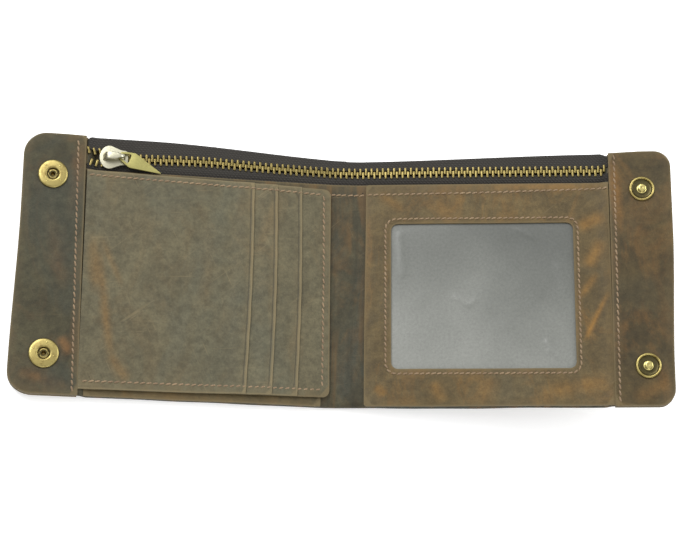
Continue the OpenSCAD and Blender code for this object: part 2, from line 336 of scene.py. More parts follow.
def stitches(name, paths, pitch=2.6, length=2.35, r=0.385, slant=0.30, seed=1):
    """Thread seen between its holes: short rounded lengths, each dipping into the leather at both ends.
    paths: lists of flat (x, y, w) points; a path may be a closed loop if its ends meet."""
    rng = random.Random(seed)
    verts, faces = [], []
    ring_n, sec_n = 8, 7
    for path in paths:
        A = np.asarray(path, float)
        seg = np.linalg.norm(np.diff(A, axis=0), axis=1)
        cum = np.concatenate([[0], np.cumsum(seg)])
        total = cum[-1]
        count = max(1, int(round(total / pitch)))
        step = total / count

        def at(s):
            s = min(max(s, 0), total)
            return np.array([np.interp(s, cum, A[:, k]) for k in range(3)])

        for i in range(count):
            mid = (i + 0.5) * step
            half = length * 0.5 * rng.uniform(0.94, 1.04)
            base = len(verts)
            p0, p1 = at(mid - half), at(mid + half)
            d = p1 - p0
            d /= np.linalg.norm(d) + 1e-9
            side = np.array([-d[1], d[0], 0])
            tilt = slant * rng.uniform(0.7, 1.3)
            lift = rng.uniform(-0.03, 0.03)
            for k in range(sec_n):
                t = k / (sec_n - 1)
                c = at(mid - half + 2 * half * t)
                bow = math.sin(math.pi * t)
                rad = r * (0.55 + 0.45 * bow ** 0.5) * rng.uniform(0.97, 1.03)
                c = c + side * (t - 0.5) * 2 * tilt * 0.9 + np.array([0, 0, -0.22 + 0.34 * bow ** 0.6 + lift])
                for q in range(ring_n):
                    a = 2 * math.pi * q / ring_n
                    verts.append(c + side * rad * math.cos(a) + np.array([0, 0, 1]) * rad * 0.85 * math.sin(a))
            for k in range(sec_n - 1):
                for q in range(ring_n):
                    q2 = (q + 1) % ring_n
                    faces.append((base + k * ring_n + q, base + k * ring_n + q2, base + (k + 1) * ring_n + q2, base + (k + 1) * ring_n + q))
            faces.append(tuple(base + q for q in reversed(range(ring_n))))
            faces.append(tuple(base + (sec_n - 1) * ring_n + q for q in range(ring_n)))
    P = np.array(verts)
    P[:, 2] += sag(P[:, 0], P[:, 1]) * smooth((P[:, 2] - 0.1) / 1.2)
    return new_object(name, rest(P), faces, P, None, 80)


# ---------------------------------------------------------------- materials
def mat(name):
    m = bpy.data.materials.new(name)
    m.use_nodes = True
    nt = m.node_tree
    nt.nodes.clear()
    out = nt.nodes.new("ShaderNodeOutputMaterial")
    bsdf = nt.nodes.new("ShaderNodeBsdfPrincipled")
    nt.links.new(bsdf.outputs[0], out.inputs[0])
    return m, nt, bsdf


def node(nt, kind, **kw):
    n = nt.nodes.new("ShaderNode" + kind)
    for k, v in kw.items():
        if k.startswith("in_"):
            key = k[3:]
            key = int(key) if key.isdigit() else key.replace("_", " ")
            n.inputs[key].default_value = v
        else:
            setattr(n, k, v)
    return n


def ramp(nt, fac, stops):
    r = nt.nodes.new("ShaderNodeValToRGB")
    el = r.color_ramp.elements
    while len(el) < len(stops):
        el.new(0.5)
    for e, (p, c) in zip(el, stops):
        e.position = p
        e.color = (*c, 1) if len(c) == 3 else c
    nt.links.new(fac, r.inputs[0])
    return r.outputs[0]


def mixc(nt, fac, a, b, mode="MIX"):
    m = nt.nodes.new("ShaderNodeMix")
    m.data_type = "RGBA"
    m.blend_type = mode
    for sock, v in ((0, fac), (6, a), (7, b)):
        if hasattr(v, "node"):
            nt.links.new(v, m.inputs[sock])
        elif sock == 0:
            m.inputs[0].default_value = v
        else:
            m.inputs[sock].default_value = (*v, 1)
    return m.outputs[2]


def math_node(nt, op, a, b=None, clamp=False):
    m = nt.nodes.new("ShaderNodeMath")
    m.operation = op
    m.use_clamp = clamp
    for i, v in enumerate((a, b)):
        if v is None:
            continue
        if hasattr(v, "node"):
            nt.links.new(v, m.inputs[i])
        else:
            m.inputs[i].default_value = v
    return m.outputs[0]


def noise(nt, vec, scale, detail=4, rough=0.55, dist=0.0, out=0):
    n = nt.nodes.new("ShaderNodeTexNoise")
    n.inputs["Scale"].default_value = scale
    n.inputs["Detail"].default_value = detail
    n.inputs["Roughness"].default_value = rough
    n.inputs["Distortion"].default_value = dist
    nt.links.new(vec, n.inputs["Vector"])
    return n.outputs[out]


def mapping(nt, vec, scale=(1, 1, 1), loc=(0, 0, 0), rot=(0, 0, 0)):
    m = nt.nodes.new("ShaderNodeMapping")
    m.inputs["Scale"].default_value = scale
    m.inputs["Location"].default_value = loc
    m.inputs["Rotation"].default_value = rot
    nt.links.new(vec, m.inputs["Vector"])
    return m.outputs[0]


def stroke(nt, flat, x0, y0, x1, y1, width, amount):
    """A streak from one flat point to another, in mm, as a 0 to 1 mask: used for rubbed streaks and for painted shade
    strokes.
    """
    L = math.hypot(x1 - x0, y1 - y0)
    ux, uy = (x1 - x0) / L, (y1 - y0) / L
    sep = node(nt, "SeparateXYZ")
    nt.links.new(flat, sep.inputs[0])
    dx = math_node(nt, "SUBTRACT", sep.outputs[0], x0 * MM)
    dy = math_node(nt, "SUBTRACT", sep.outputs[1], y0 * MM)
    t = math_node(nt, "ADD", math_node(nt, "MULTIPLY", dx, ux / (L * MM)), math_node(nt, "MULTIPLY", dy, uy / (L * MM)))
    d = math_node(nt, "ADD", math_node(nt, "MULTIPLY", dx, -uy / (width * MM)), math_node(nt, "MULTIPLY", dy, ux / (width * MM)))
    g = math_node(nt, "POWER", 2.718, math_node(nt, "MULTIPLY", math_node(nt, "MULTIPLY", d, d), -1.0))
    tt = math_node(nt, "MULTIPLY", math_node(nt, "SUBTRACT", t, 0.5), 2.0)
    e = math_node(nt, "SUBTRACT", 1.25, math_node(nt, "MULTIPLY", tt, tt), clamp=True)
    return math_node(nt, "MULTIPLY", math_node(nt, "MULTIPLY", g, e), amount)


def leather(name, base, warm, cool, edge_col, seed=0.0, warm_amount=0.5, cool_amount=0.5, rough=0.5, strokes=(), folds=0.0,
            cloudy=1.0, hot=None, rim=False, painted_zip_end_shade=False, painted_shade_strokes=()):
    """Oily pull-up leather: cloudy colour, rubbed warm patches, bluish bloom, fine pores, hair scratches, pale cut
    edges; where asked also painted shade in folds, in a rim's crease, in dark strokes and inside the zipper's open end,
    and a painted highlight along a rim.
    """
    m, nt, b = mat(name)
    base, warm, cool = (tuple(k * t for k, t in zip(col, (1.02, 1.0, 0.86))) for col in (base, warm, cool))
    hot = hot or warm
    flat = node(nt, "Attribute", attribute_name="flat", attribute_type="GEOMETRY").outputs["Vector"]
    v = mapping(nt, flat, loc=(seed, seed * 0.7, seed * 0.3))
    big = noise(nt, v, 26, 3, 0.6, 0.4)
    mid = noise(nt, mapping(nt, v, loc=(1.3, 0.2, 0.4)), 48, 6, 0.62, 1.4)
    small = noise(nt, v, 340, 5, 0.65)
    v2 = mapping(nt, v, scale=(1.0, 0.5, 1), loc=(0.31, 0.12, 0.7), rot=(0, 0, 0.35))
    rub = noise(nt, v2, 44, 6, 0.68, 1.8)
    cloud = noise(nt, mapping(nt, v, loc=(0.9, 0.33, 0), scale=(1, 0.6, 1)), 30, 5, 0.6, 0.9)
    fine = noise(nt, v, 1300, 4, 0.7)
    c = mixc(nt, ramp(nt, mid, [(0.32, (0, 0, 0)), (0.68, (1, 1, 1))]), tuple(k * (1 - 0.26 * cloudy) for k in base), tuple(k * (1 + 0.25 * cloudy) for k in base))
    fw = ramp(nt, rub, [(0.50, (0, 0, 0)), (0.66, (1, 1, 1))])
    fw = math_node(nt, "MULTIPLY", fw, warm_amount)
    c = mixc(nt, fw, c, warm)
    for st in strokes:
        rag = math_node(nt, "ADD", math_node(nt, "MULTIPLY", rub, 1.5), 0.15)
        c = mixc(nt, math_node(nt, "MULTIPLY", stroke(nt, flat, *st), rag, clamp=True), c, hot)
    # painted shade: dark strokes where shadow falls beside raised edges and in creases
    for st in painted_shade_strokes:
        c = mixc(nt, stroke(nt, flat, *st), c, tuple(0.38 * a_ + 0.12 * b_ for a_, b_ in zip(base, cool)))
    fc = ramp(nt, cloud, [(0.48, (0, 0, 0)), (0.64, (1, 1, 1))])
    fc = math_node(nt, "MULTIPLY", fc, cool_amount)
    c = mixc(nt, fc, c, cool)
    speck = ramp(nt, small, [(0.34, (0.74, 0.74, 0.74)), (0.66, (1.26, 1.26, 1.26))])
    c = mixc(nt, 0.8, c, speck, "MULTIPLY")
    grain = ramp(nt, fine, [(0.34, (0.84, 0.84, 0.84)), (0.66, (1.16, 1.16, 1.16))])
    c = mixc(nt, 0.8, c, grain, "MULTIPLY")
    # hair-fine scratches, in three directions, only here and there
    where = ramp(nt, big, [(0.5, (0, 0, 0)), (0.62, (1, 1, 1))])
    scr = None
    for k, (rot, sc) in enumerate((((0, 0, 0.9), 1.0), ((0, 0, -0.45), 1.4), ((0, 0, 1.5), 1.2))):
        sv = mapping(nt, mapping(nt, v, rot=rot), scale=(900 * sc, 26 * sc, 1), loc=(k * 3.1, k * 1.7, 0))
        q = noise(nt, sv, 1.0, 2, 0.5)
        q = ramp(nt, q, [(0.66, (0, 0, 0)), (0.76, (1, 1, 1))])
        scr = q if scr is None else math_node(nt, "MAXIMUM", scr, q)
    scr = math_node(nt, "MULTIPLY", scr, where)
    c = mixc(nt, math_node(nt, "MULTIPLY", scr, 0.35), c, edge_col)
    if folds:
        # soft upright folds by the spine, in colour only: painted shade in the hollows, rubbed warm colour on the
        # ridges
        fv = mapping(nt, flat, scale=(150, 14, 1), loc=(0.4, 0.2, 0))
        fo = noise(nt, fv, 1.0, 3, 0.5, 0.6)
        c = mixc(nt, math_node(nt, "MULTIPLY", ramp(nt, fo, [(0.54, (0, 0, 0)), (0.68, (1, 1, 1))]), folds), c, warm)
        c = mixc(nt, math_node(nt, "MULTIPLY", ramp(nt, fo, [(0.32, (1, 1, 1)), (0.46, (0, 0, 0))]), folds), c, tuple(k * 0.45 for k in base))
    # pale, rubbed cut edges
    ed = node(nt, "Attribute", attribute_name="edge", attribute_type="GEOMETRY").outputs["Fac"]
    ed2 = math_node(nt, "ADD", ed, math_node(nt, "MULTIPLY", math_node(nt, "SUBTRACT", small, 0.5), 1.1))
    e_near = ramp(nt, ed2, [(0.0, (1, 1, 1)), (0.85, (0.0, 0.0, 0.0))])
    e_far = ramp(nt, math_node(nt, "MULTIPLY", ed2, 0.25), [(0.0, (1, 1, 1)), (0.55, (0.75, 0.75, 0.75)), (1.0, (0, 0, 0))])
    e_far = math_node(nt, "MULTIPLY", e_far, ramp(nt, rub, [(0.38, (0.15, 0.15, 0.15)), (0.62, (1, 1, 1))]))
    c = mixc(nt, math_node(nt, "MULTIPLY", e_far, 0.36), c, tuple(0.45 * a + 0.55 * k for a, k in zip(warm, edge_col)))
    c = mixc(nt, math_node(nt, "MULTIPLY", e_near, 0.62), c, edge_col)
    groove = None
    if rim:
        # a creased line beside the free edge, darkened as painted shade in its groove; the strip outside it paler,
        # rubbed colour with a painted highlight
        rs = node(nt, "SeparateXYZ")
        nt.links.new(flat, rs.inputs[0])
        mid_y = math_node(nt, "MULTIPLY", math_node(nt, "SUBTRACT", 0.0435, math_node(nt, "ABSOLUTE", math_node(nt, "ADD", rs.outputs[1], 0.0052), 0)), 1 / 0.002, clamp=True)
        strip = ramp(nt, math_node(nt, "MULTIPLY", ed, 0.5), [(0.0, (0.3, 0.3, 0.3)), (0.2, (1, 1, 1)), (0.42, (0.9, 0.9, 0.9)), (0.62, (0, 0, 0))])
        strip = math_node(nt, "MULTIPLY", strip, ramp(nt, rub, [(0.35, (0.55, 0.55, 0.55)), (0.6, (1, 1, 1))]))
        c = mixc(nt, math_node(nt, "MULTIPLY", math_node(nt, "MULTIPLY", strip, mid_y), 0.42), c, edge_col)
        gd = math_node(nt, "MULTIPLY", math_node(nt, "SUBTRACT", ed, 1.42), 1 / 0.28)
        groove = math_node(nt, "POWER", 2.718, math_node(nt, "MULTIPLY", math_node(nt, "MULTIPLY", gd, gd), -1.0))
        groove = math_node(nt, "MULTIPLY", groove, mid_y)
        # painted shade in the crease's groove
        c = mixc(nt, math_node(nt, "MULTIPLY", groove, 0.6), c, tuple(k * 0.35 for k in base))
    if painted_zip_end_shade:
        # painted shade: the leather inside the open end of the zipper sees no light, so its colour is darkened here
        ws = node(nt, "SeparateXYZ")
        nt.links.new(flat, ws.inputs[0])
        inx = math_node(nt, "MULTIPLY", math_node(nt, "SUBTRACT", -0.1025, ws.outputs[0]), 1 / 0.0015, clamp=True)
        iny = math_node(nt, "MULTIPLY", math_node(nt, "SUBTRACT", ws.outputs[1], 0.0432), 1 / 0.0008, clamp=True)
        iny2 = math_node(nt, "MULTIPLY", math_node(nt, "SUBTRACT", 0.0532, ws.outputs[1]), 1 / 0.0008, clamp=True)
        up = math_node(nt, "MULTIPLY", math_node(nt, "SUBTRACT", -0.1062, ws.outputs[0]), 1 / 0.0037, clamp=True)
        up = math_node(nt, "ADD", math_node(nt, "MULTIPLY", up, 0.0032), 0.0007)
        ins = math_node(nt, "GREATER_THAN", ws.outputs[2], up)
        f = math_node(nt, "MULTIPLY", math_node(nt, "MULTIPLY", inx, ins), math_node(nt, "MULTIPLY", iny, iny2))
        c = mixc(nt, math_node(nt, "MULTIPLY", f, 0.9), c, (0.006, 0.005, 0.004))
    nt.links.new(c, b.inputs["Base Color"])
    # pores and grain
    pores = nt.nodes.new("ShaderNodeTexVoronoi")
    pores.feature = "DISTANCE_TO_EDGE"
    pores.inputs["Scale"].default_value = 950
    nt.links.new(mixv(nt, v, small), pores.inputs["Vector"])
    pore = ramp(nt, pores.outputs["Distance"], [(0.0, (0, 0, 0)), (0.22, (1, 1, 1))])
    wrinkle = noise(nt, mapping(nt, v, scale=(1, 0.6, 1)), 150, 6, 0.7, 1.0)
    h = math_node(nt, "ADD", math_node(nt, "MULTIPLY", pore, 0.3), math_node(nt, "MULTIPLY", wrinkle, 1.3))
    h = math_node(nt, "SUBTRACT", h, math_node(nt, "MULTIPLY", scr, 0.35))
    if groove is not None:
        h = math_node(nt, "SUBTRACT", h, math_node(nt, "MULTIPLY", groove, 1.6))
    bump = node(nt, "Bump", in_Strength=0.55, in_Distance=0.00018)
    nt.links.new(h, bump.inputs["Height"])
    nt.links.new(bump.outputs[0], b.inputs["Normal"])
    r = math_node(nt, "ADD", math_node(nt, "MULTIPLY", mid, 0.22), rough - 0.08)
    r = math_node(nt, "ADD", r, math_node(nt, "MULTIPLY", e_near, 0.15))
    nt.links.new(r, b.inputs["Roughness"])
    b.inputs["Specular IOR Level"].default_value = 0.24
    b.inputs["Sheen Weight"].default_value = 0.03
    b.inputs["Sheen Roughness"].default_value = 0.5
    return m


def mixv(nt, v, fac):
    m = nt.nodes.new("ShaderNodeVectorMath")
    m.operation = "ADD"
    s = nt.nodes.new("ShaderNodeVectorMath")
    s.operation = "SCALE"
    s.inputs["Scale"].default_value = 0.0006
    nt.links.new(fac, s.inputs[0])
    nt.links.new(v, m.inputs[0])
    nt.links.new(s.outputs[0], m.inputs[1])
    return m.outputs[0]


def thread_mat():
    m, nt, b = mat("thread_tan")
    flat = node(nt, "Attribute", attribute_name="flat", attribute_type="GEOMETRY").outputs["Vector"]
    tone = noise(nt, flat, 120, 3, 0.6)
    c = mixc(nt, ramp(nt, tone, [(0.3, (0, 0, 0)), (0.7, (1, 1, 1))]), (0.185, 0.120, 0.062), (0.31, 0.215, 0.118))
    w = nt.nodes.new("ShaderNodeTexWave")
    w.inputs["Scale"].default_value = 620
    w.inputs["Distortion"].default_value = 0.6
    w.bands_direction = "DIAGONAL"
    nt.links.new(flat, w.inputs["Vector"])
    c = mixc(nt, math_node(nt, "MULTIPLY", w.outputs["Fac"], 0.28), c, (0.12, 0.06, 0.03))
    nt.links.new(c, b.inputs["Base Color"])
    bump = node(nt, "Bump", in_Strength=0.7, in_Distance=0.00008)
    nt.links.new(w.outputs["Fac"], bump.inputs["Height"])
    nt.links.new(bump.outputs[0], b.inputs["Normal"])
    b.inputs["Roughness"].default_value = 0.62
    b.inputs["Sheen Weight"].default_value = 0.2
    return m


def tape_mat():
    m, nt, b = mat("zipper_tape_weave")
    flat = node(nt, "Attribute", attribute_name="flat", attribute_type="GEOMETRY").outputs["Vector"]
    w1 = nt.nodes.new("ShaderNodeTexWave")
    w1.inputs["Scale"].default_value = 330
    w1.inputs["Distortion"].default_value = 0.4
    w1.bands_direction = "Y"
    nt.links.new(flat, w1.inputs["Vector"])
    w2 = nt.nodes.new("ShaderNodeTexWave")
    w2.inputs["Scale"].default_value = 420
    w2.inputs["Distortion"].default_value = 0.5
    w2.bands_direction = "DIAGONAL"
    nt.links.new(flat, w2.inputs["Vector"])
    weave = math_node(nt, "MULTIPLY", w1.outputs["Fac"], w2.outputs["Fac"])
    n = noise(nt, flat, 90, 4, 0.6)
    c = mixc(nt, weave, (0.020, 0.018, 0.0155), (0.050, 0.046, 0.040))
    c = mixc(nt, math_node(nt, "MULTIPLY", n, 0.35), c, (0.055, 0.049, 0.042))
    nt.links.new(c, b.inputs["Base Color"])
    bump = node(nt, "Bump", in_Strength=0.9, in_Distance=0.00018)
    nt.links.new(weave, bump.inputs["Height"])
    nt.links.new(bump.outputs[0], b.inputs["Normal"])
    b.inputs["Roughness"].default_value = 0.8
    b.inputs["Specular IOR Level"].default_value = 0.25
    b.inputs["Sheen Weight"].default_value = 0.12
    b.inputs["Sheen Roughness"].default_value = 0.4
    return m


def metal_mat(name, bright, dark, rough=0.3, tarnish=0.5, scale=700, top=None):
    """Plated metal with tarnish in its hollows and fine wear."""
    m, nt, b = mat(name)
    tc = node(nt, "TexCoord").outputs["Object"]
    n1 = noise(nt, tc, scale, 5, 0.65, 0.5)
    n2 = noise(nt, tc, scale * 4, 3, 0.6)
    geo = node(nt, "NewGeometry")
    point = ramp(nt, geo.outputs["Pointiness"], [(0.46, (1, 1, 1)), (0.52, (0, 0, 0))])
    f = ramp(nt, n1, [(0.40, (0, 0, 0)), (0.72, (1, 1, 1))])
    f = math_node(nt, "MULTIPLY", f, tarnish)
    f = math_node(nt, "MAXIMUM", f, math_node(nt, "MULTIPLY", point, 0.75))
    c = mixc(nt, f, bright, dark)
    nt.links.new(c, b.inputs["Base Color"])
    b.inputs["Metallic"].default_value = 1.0
    r = math_node(nt, "ADD", math_node(nt, "MULTIPLY", n1, 0.25), rough - 0.1)
    nt.links.new(r, b.inputs["Roughness"])
    bump = node(nt, "Bump", in_Strength=0.25, in_Distance=0.00005)
    nt.links.new(n2, bump.inputs["Height"])
    nt.links.new(bump.outputs[0], b.inputs["Normal"])
    return m


def film_mat():
    m, nt, b = mat("window_vinyl")
    flat = node(nt, "Attribute", attribute_name="flat", attribute_type="GEOMETRY").outputs["Vector"]
    sep = node(nt, "SeparateXYZ")
    nt.links.new(flat, sep.inputs[0])
    # painted light: the colour lightens towards the low near corner as a painted sheen and darkens along the top as
    # painted shade
    gx = math_node(nt, "MULTIPLY", math_node(nt, "SUBTRACT", sep.outputs[0], 0.057), 1 / 0.040)
    gy = math_node(nt, "MULTIPLY", math_node(nt, "SUBTRACT", sep.outputs[1], -0.007), 1 / 0.032)
    g = math_node(nt, "ADD", math_node(nt, "MULTIPLY", gx, -0.20), math_node(nt, "MULTIPLY", gy, -0.42))
    n = noise(nt, flat, 30, 3, 0.5, 0.3)
    g = math_node(nt, "ADD", g, math_node(nt, "MULTIPLY", math_node(nt, "SUBTRACT", n, 0.5), 0.9))
    g = math_node(nt, "ADD", g, 0.5, clamp=True)
    c = ramp(nt, g, [(0.0, (0.086, 0.090, 0.080)), (0.5, (0.134, 0.139, 0.124)), (1.0, (0.205, 0.210, 0.190))])
    dust = noise(nt, flat, 1400, 3, 0.7)
    c = mixc(nt, ramp(nt, dust, [(0.66, (0, 0, 0)), (0.80, (0.2, 0.2, 0.2))]), c, (0.3, 0.3, 0.29))
    grit = noise(nt, flat, 900, 5, 0.75)
    c = mixc(nt, 0.8, c, ramp(nt, grit, [(0.34, (0.84, 0.84, 0.84)), (0.66, (1.16, 1.16, 1.16))]), "MULTIPLY")
    ed = node(nt, "Attribute", attribute_name="edge", attribute_type="GEOMETRY").outputs["Fac"]
    nt.links.new(c, b.inputs["Base Color"])
    b.inputs["Roughness"].default_value = 0.42
    b.inputs["Specular IOR Level"].default_value = 0.4
    b.inputs["Coat Weight"].default_value = 0.35
    b.inputs["Coat Roughness"].default_value = 0.2
    fine = noise(nt, flat, 2300, 4, 0.7)
    bump = node(nt, "Bump", in_Strength=0.22, in_Distance=0.00006)
    nt.links.new(fine, bump.inputs["Height"])
    nt.links.new(bump.outputs[0], b.inputs["Normal"])
    nt.links.new(bump.outputs[0], b.inputs["Coat Normal"])
    return m


EDGE = (0.165, 0.126, 0.064)
HOT = (0.205, 0.108, 0.026)
M_TAB_L = leather("leather_tab_left", (0.049, 0.044, 0.026), (0.085, 0.052, 0.026), (0.040, 0.044, 0.036), EDGE, 0.0, 0.5, 0.6, 0.52, cloudy=1.25, hot=(0.13, 0.068, 0.024),
                  strokes=[(-113.5, -38, -118, -31, 2.0, 0.9), (-134, -46, -112, -52, 2.2, 0.5), (-118, -10, -124, 22, 3, 0.4), (-113, 52, -116, 20, 2.4, 0.5)])
M_TAB_R = leather("leather_tab_right", (0.058, 0.042, 0.019), (0.120, 0.062, 0.020), (0.046, 0.042, 0.027), EDGE, 4.0, 0.6, 0.4, 0.52, cloudy=1.2, hot=(0.16, 0.080, 0.020),
                  strokes=[(112, 50, 115, 20, 2.2, 0.9), (134, -44, 118, -52, 3.0, 0.5)])
PAGE_BASE = ((0.097, 0.086, 0.057), (0.118, 0.080, 0.040), (0.086, 0.091, 0.074))
PAGE_STROKES = [(-107, 14, -104.2, -12, 2.6, 0.5), (-103.6, 4, -97.2, -39, 1.8, 0.6), (-97.5, -38, -90, -48, 2.2, 0.45), (-103, 12, -94, -8, 1.4, 0.4),
                (-30, 34, -38, 10, 2.4, 0.22), (-60, -15, -58, 20, 3.0, 0.2)]
M_PAGE = leather("leather_page", *PAGE_BASE, EDGE, 1.7, 0.26, 0.4, 0.5, cloudy=0.62, hot=(0.175, 0.098, 0.030), strokes=PAGE_STROKES)
# pockets: a brighter edge colour, rubbed pale with a painted highlight along the rim
M_POCKET = leather("leather_pocket", *PAGE_BASE, (0.225, 0.178, 0.095), 1.7, 0.26, 0.4, 0.5, cloudy=0.62, hot=(0.175, 0.098, 0.030), strokes=PAGE_STROKES, rim=True)
M_SLIP = leather("leather_slip_panel", (0.086, 0.066, 0.034), (0.135, 0.078, 0.026), (0.060, 0.056, 0.038), EDGE, 5.1, 0.6, 0.4, 0.52)
M_PANEL = leather("leather_panel", (0.090, 0.065, 0.031), (0.160, 0.086, 0.026), (0.076, 0.069, 0.047), EDGE, 2.9, 0.62, 0.45, 0.5, hot=HOT,
                  strokes=[(108.5, -7, 98.5, -27, 1.0, 1.0), (104.5, 2, 97.5, -8, 1.6, 0.7), (97, 22, 108, 27, 2.6, 0.9), (107, 16, 100, 4, 2.6, 0.8), (109, 40, 60, 40.6, 1.6, 0.55),
                           (60, -42, 56, -54, 3.2, 0.7), (36, -44, 40, -53, 2.4, 0.6), (108, -44, 80, -50, 3.4, 0.6), (12, -46, 16, -50, 1.8, 0.8), (24, 30, 14, 38, 2.0, 0.5)])
# the inner leather carries painted shade: in the folds' hollows, in strips beside the page's and the ID panel's edges,
# in creases low on the spine, and inside the zipper's open end
M_INNER = leather("leather_inner", (0.050, 0.045, 0.029), (0.122, 0.068, 0.026), (0.040, 0.046, 0.041), EDGE, 6.3, 0.36, 0.7, 0.55, hot=(0.15, 0.080, 0.026),
                  strokes=[(-2.5, 22, -1.0, -14, 1.1, 0.7), (1.5, -36, -4.5, -51, 0.45, 0.8), (3.2, -41, 0.0, -51, 0.4, 0.6), (-3.2, -43, -7.0, -51, 0.6, 0.7)], folds=0.7, painted_zip_end_shade=True,
                  painted_shade_strokes=[(-6.4, 34, -6.4, -47, 1.5, 0.7), (6.3, 34, 6.3, -53, 1.7, 0.8), (2.0, -40, -1.5, -51, 0.5, 0.8), (-1.5, -42, -5.5, -52, 0.45, 0.7)])
M_THREAD = thread_mat()
M_TAPE = tape_mat()
M_TEETH = metal_mat("teeth_antique_brass", (0.25, 0.198, 0.072), (0.05, 0.038, 0.015), 0.36, 0.55, 900)
M_SNAP = metal_mat("snap_antique_brass", (0.44, 0.365, 0.135), (0.15, 0.095, 0.032), 0.34, 0.75, 330)
# darker and brighter copies of the snap brass: painted shade for the snaps' recesses, painted highlight on the stud
# balls
M_SNAP_SHADE = metal_mat("snap_brass_painted_shade", (0.085, 0.072, 0.032), (0.03, 0.024, 0.014), 0.36, 0.5, 600)
M_BALL_HIGHLIGHT = metal_mat("snap_ball_brass_painted_highlight", (0.58, 0.50, 0.19), (0.22, 0.17, 0.07), 0.26, 0.3, 500)
M_SLIDER = metal_mat("slider_nickel", (0.50, 0.48, 0.365), (0.27, 0.25, 0.18), 0.36, 0.3, 260)
M_PULL = metal_mat("pull_pale_brass", (0.39, 0.36, 0.135), (0.19, 0.155, 0.06), 0.36, 0.45, 300)
M_FILM = film_mat()


def dress(ob, material, body=None, blend=None, nodes=()):
    ob.data.materials.append(material)
    if blend:
        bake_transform(ob)
    else:
        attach(ob, body)
    if nodes:
        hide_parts(*nodes)
    return ob


SPINE_L = ("left_wing", "spine", -10.2, -0.2)
SPINE_R = ("spine", "right_wing", 0.2, 10.2)
TAB_L = ("left_wing", "left_tab", -110.1, -113.4)
TAB_R = ("right_wing", "right_tab", 110.1, 113.4)


def even(a, b, n):
    return [a + (b - a) * i / n for i in range(n + 1)]


def frange(a, b, step):
    n = max(1, int(round(abs(b - a) / step)))
    return [a + (b - a) * i / n for i in range(n + 1)]


# ---------------------------------------------------------------- outer leather, folded up at the bottom to become the inner front
Y_BOT = -55.0
R_FOLD = 2.1


def wrap_profile(x):
    rs, rf = float(rise_shell(x)), float(rise_front(x))
    top, ft = float(shell_top(x)), float(front_top(x))
    bot = Y_BOT + 0.5 * float(edge_wave(x)) * float(smooth((100 - abs(x)) / 20)) + 0.25
    w0, w1 = rs, 4.2 + rf
    pts = []
    ys = even(top - 0.5, bot + 3.2, 21)
    pts += [(top - 0.02, w0 + 0.95), (top, w0 + 0.7), (top - 0.05, w0 + 0.4), (top - 0.22, w0 + 0.14)]
    pts += [(y, w0) for y in ys]
    cy, cw = bot + R_FOLD, (w0 + w1) / 2
    ry, rw = R_FOLD, (w1 - w0) / 2
    for k in range(0, 11):
        a = math.radians(-90 - 180 * k / 10)
        pts.append((cy + ry * math.cos(a), cw + rw * math.sin(a)))
    ys2 = even(bot + 3.2, ft - 0.5, 19)
    pts += [(y, w1) for y in ys2]
    pts += [(ft - 0.2, w1 - 0.06), (ft - 0.04, w1 - 0.25), (ft, w1 - 0.5), (ft - 0.04, w1 - 0.78), (ft - 0.25, w1 - 0.97)]
    pts += [(y, w1 - 1.0) for y in even(ft - 1.0, bot + 3.4, 8)]
    ry2, rw2 = R_FOLD - 1.15, max(0.15, (w1 - 1.0 - (w0 + 1.4)) / 2)
    cw2 = (w1 - 1.0 + w0 + 1.4) / 2
    for k in range(0, 7):
        a = math.radians(90 + 180 * k / 6)
        pts.append((cy + 0.2 + ry2 * math.cos(a), cw2 + rw2 * math.sin(a)))
    pts += [(y, w0 + 1.4) for y in even(bot + 3.4, top - 0.9, 9)]
    pts += [(top - 0.25, w0 + 1.3)]
    return pts


def wrap_edge(x, pr):
    e = np.full(len(pr), 6.0)
    top, ft = float(shell_top(x)), float(front_top(x))
    w1 = 4.2 + float(rise_front(x))
    rs = float(rise_shell(x))
    for i, (y, w) in enumerate(pr):
        if y > ft - 6 and abs(w - w1) < 1.05 and y <= ft + 0.01:
            e[i] = 0.0 if (w < w1 - 0.02 and y > ft - 0.9) else min(6, max(0.0, ft - y))
        if y > top - 6 and w < rs + 1.5:
            e[i] = 0.0 if (w > rs + 0.02 and y > top - 0.9) else min(6, max(0.0, top - y))
    return e


NODES_L = ("shell_left", "front_leather_left")
xs_l = frange(-110.2, -101, 1.0) + frange(-97, -14, 4.2) + frange(-11, 0, 0.9)
xs_r = [-x for x in reversed(xs_l)]
wl = loft("leather_wrap_left", xs_l, wrap_profile, close_start=True, close_end=False, edge_of=wrap_edge)
wr = loft("leather_wrap_right", xs_r, wrap_profile, close_start=False, close_end=True, edge_of=wrap_edge)
dress(wl, M_INNER, blend=SPINE_L, nodes=NODES_L + ("shell_spine", "front_leather_spine"))
dress(wr, M_INNER, blend=SPINE_R, nodes=("shell_right", "front_leather_right"))

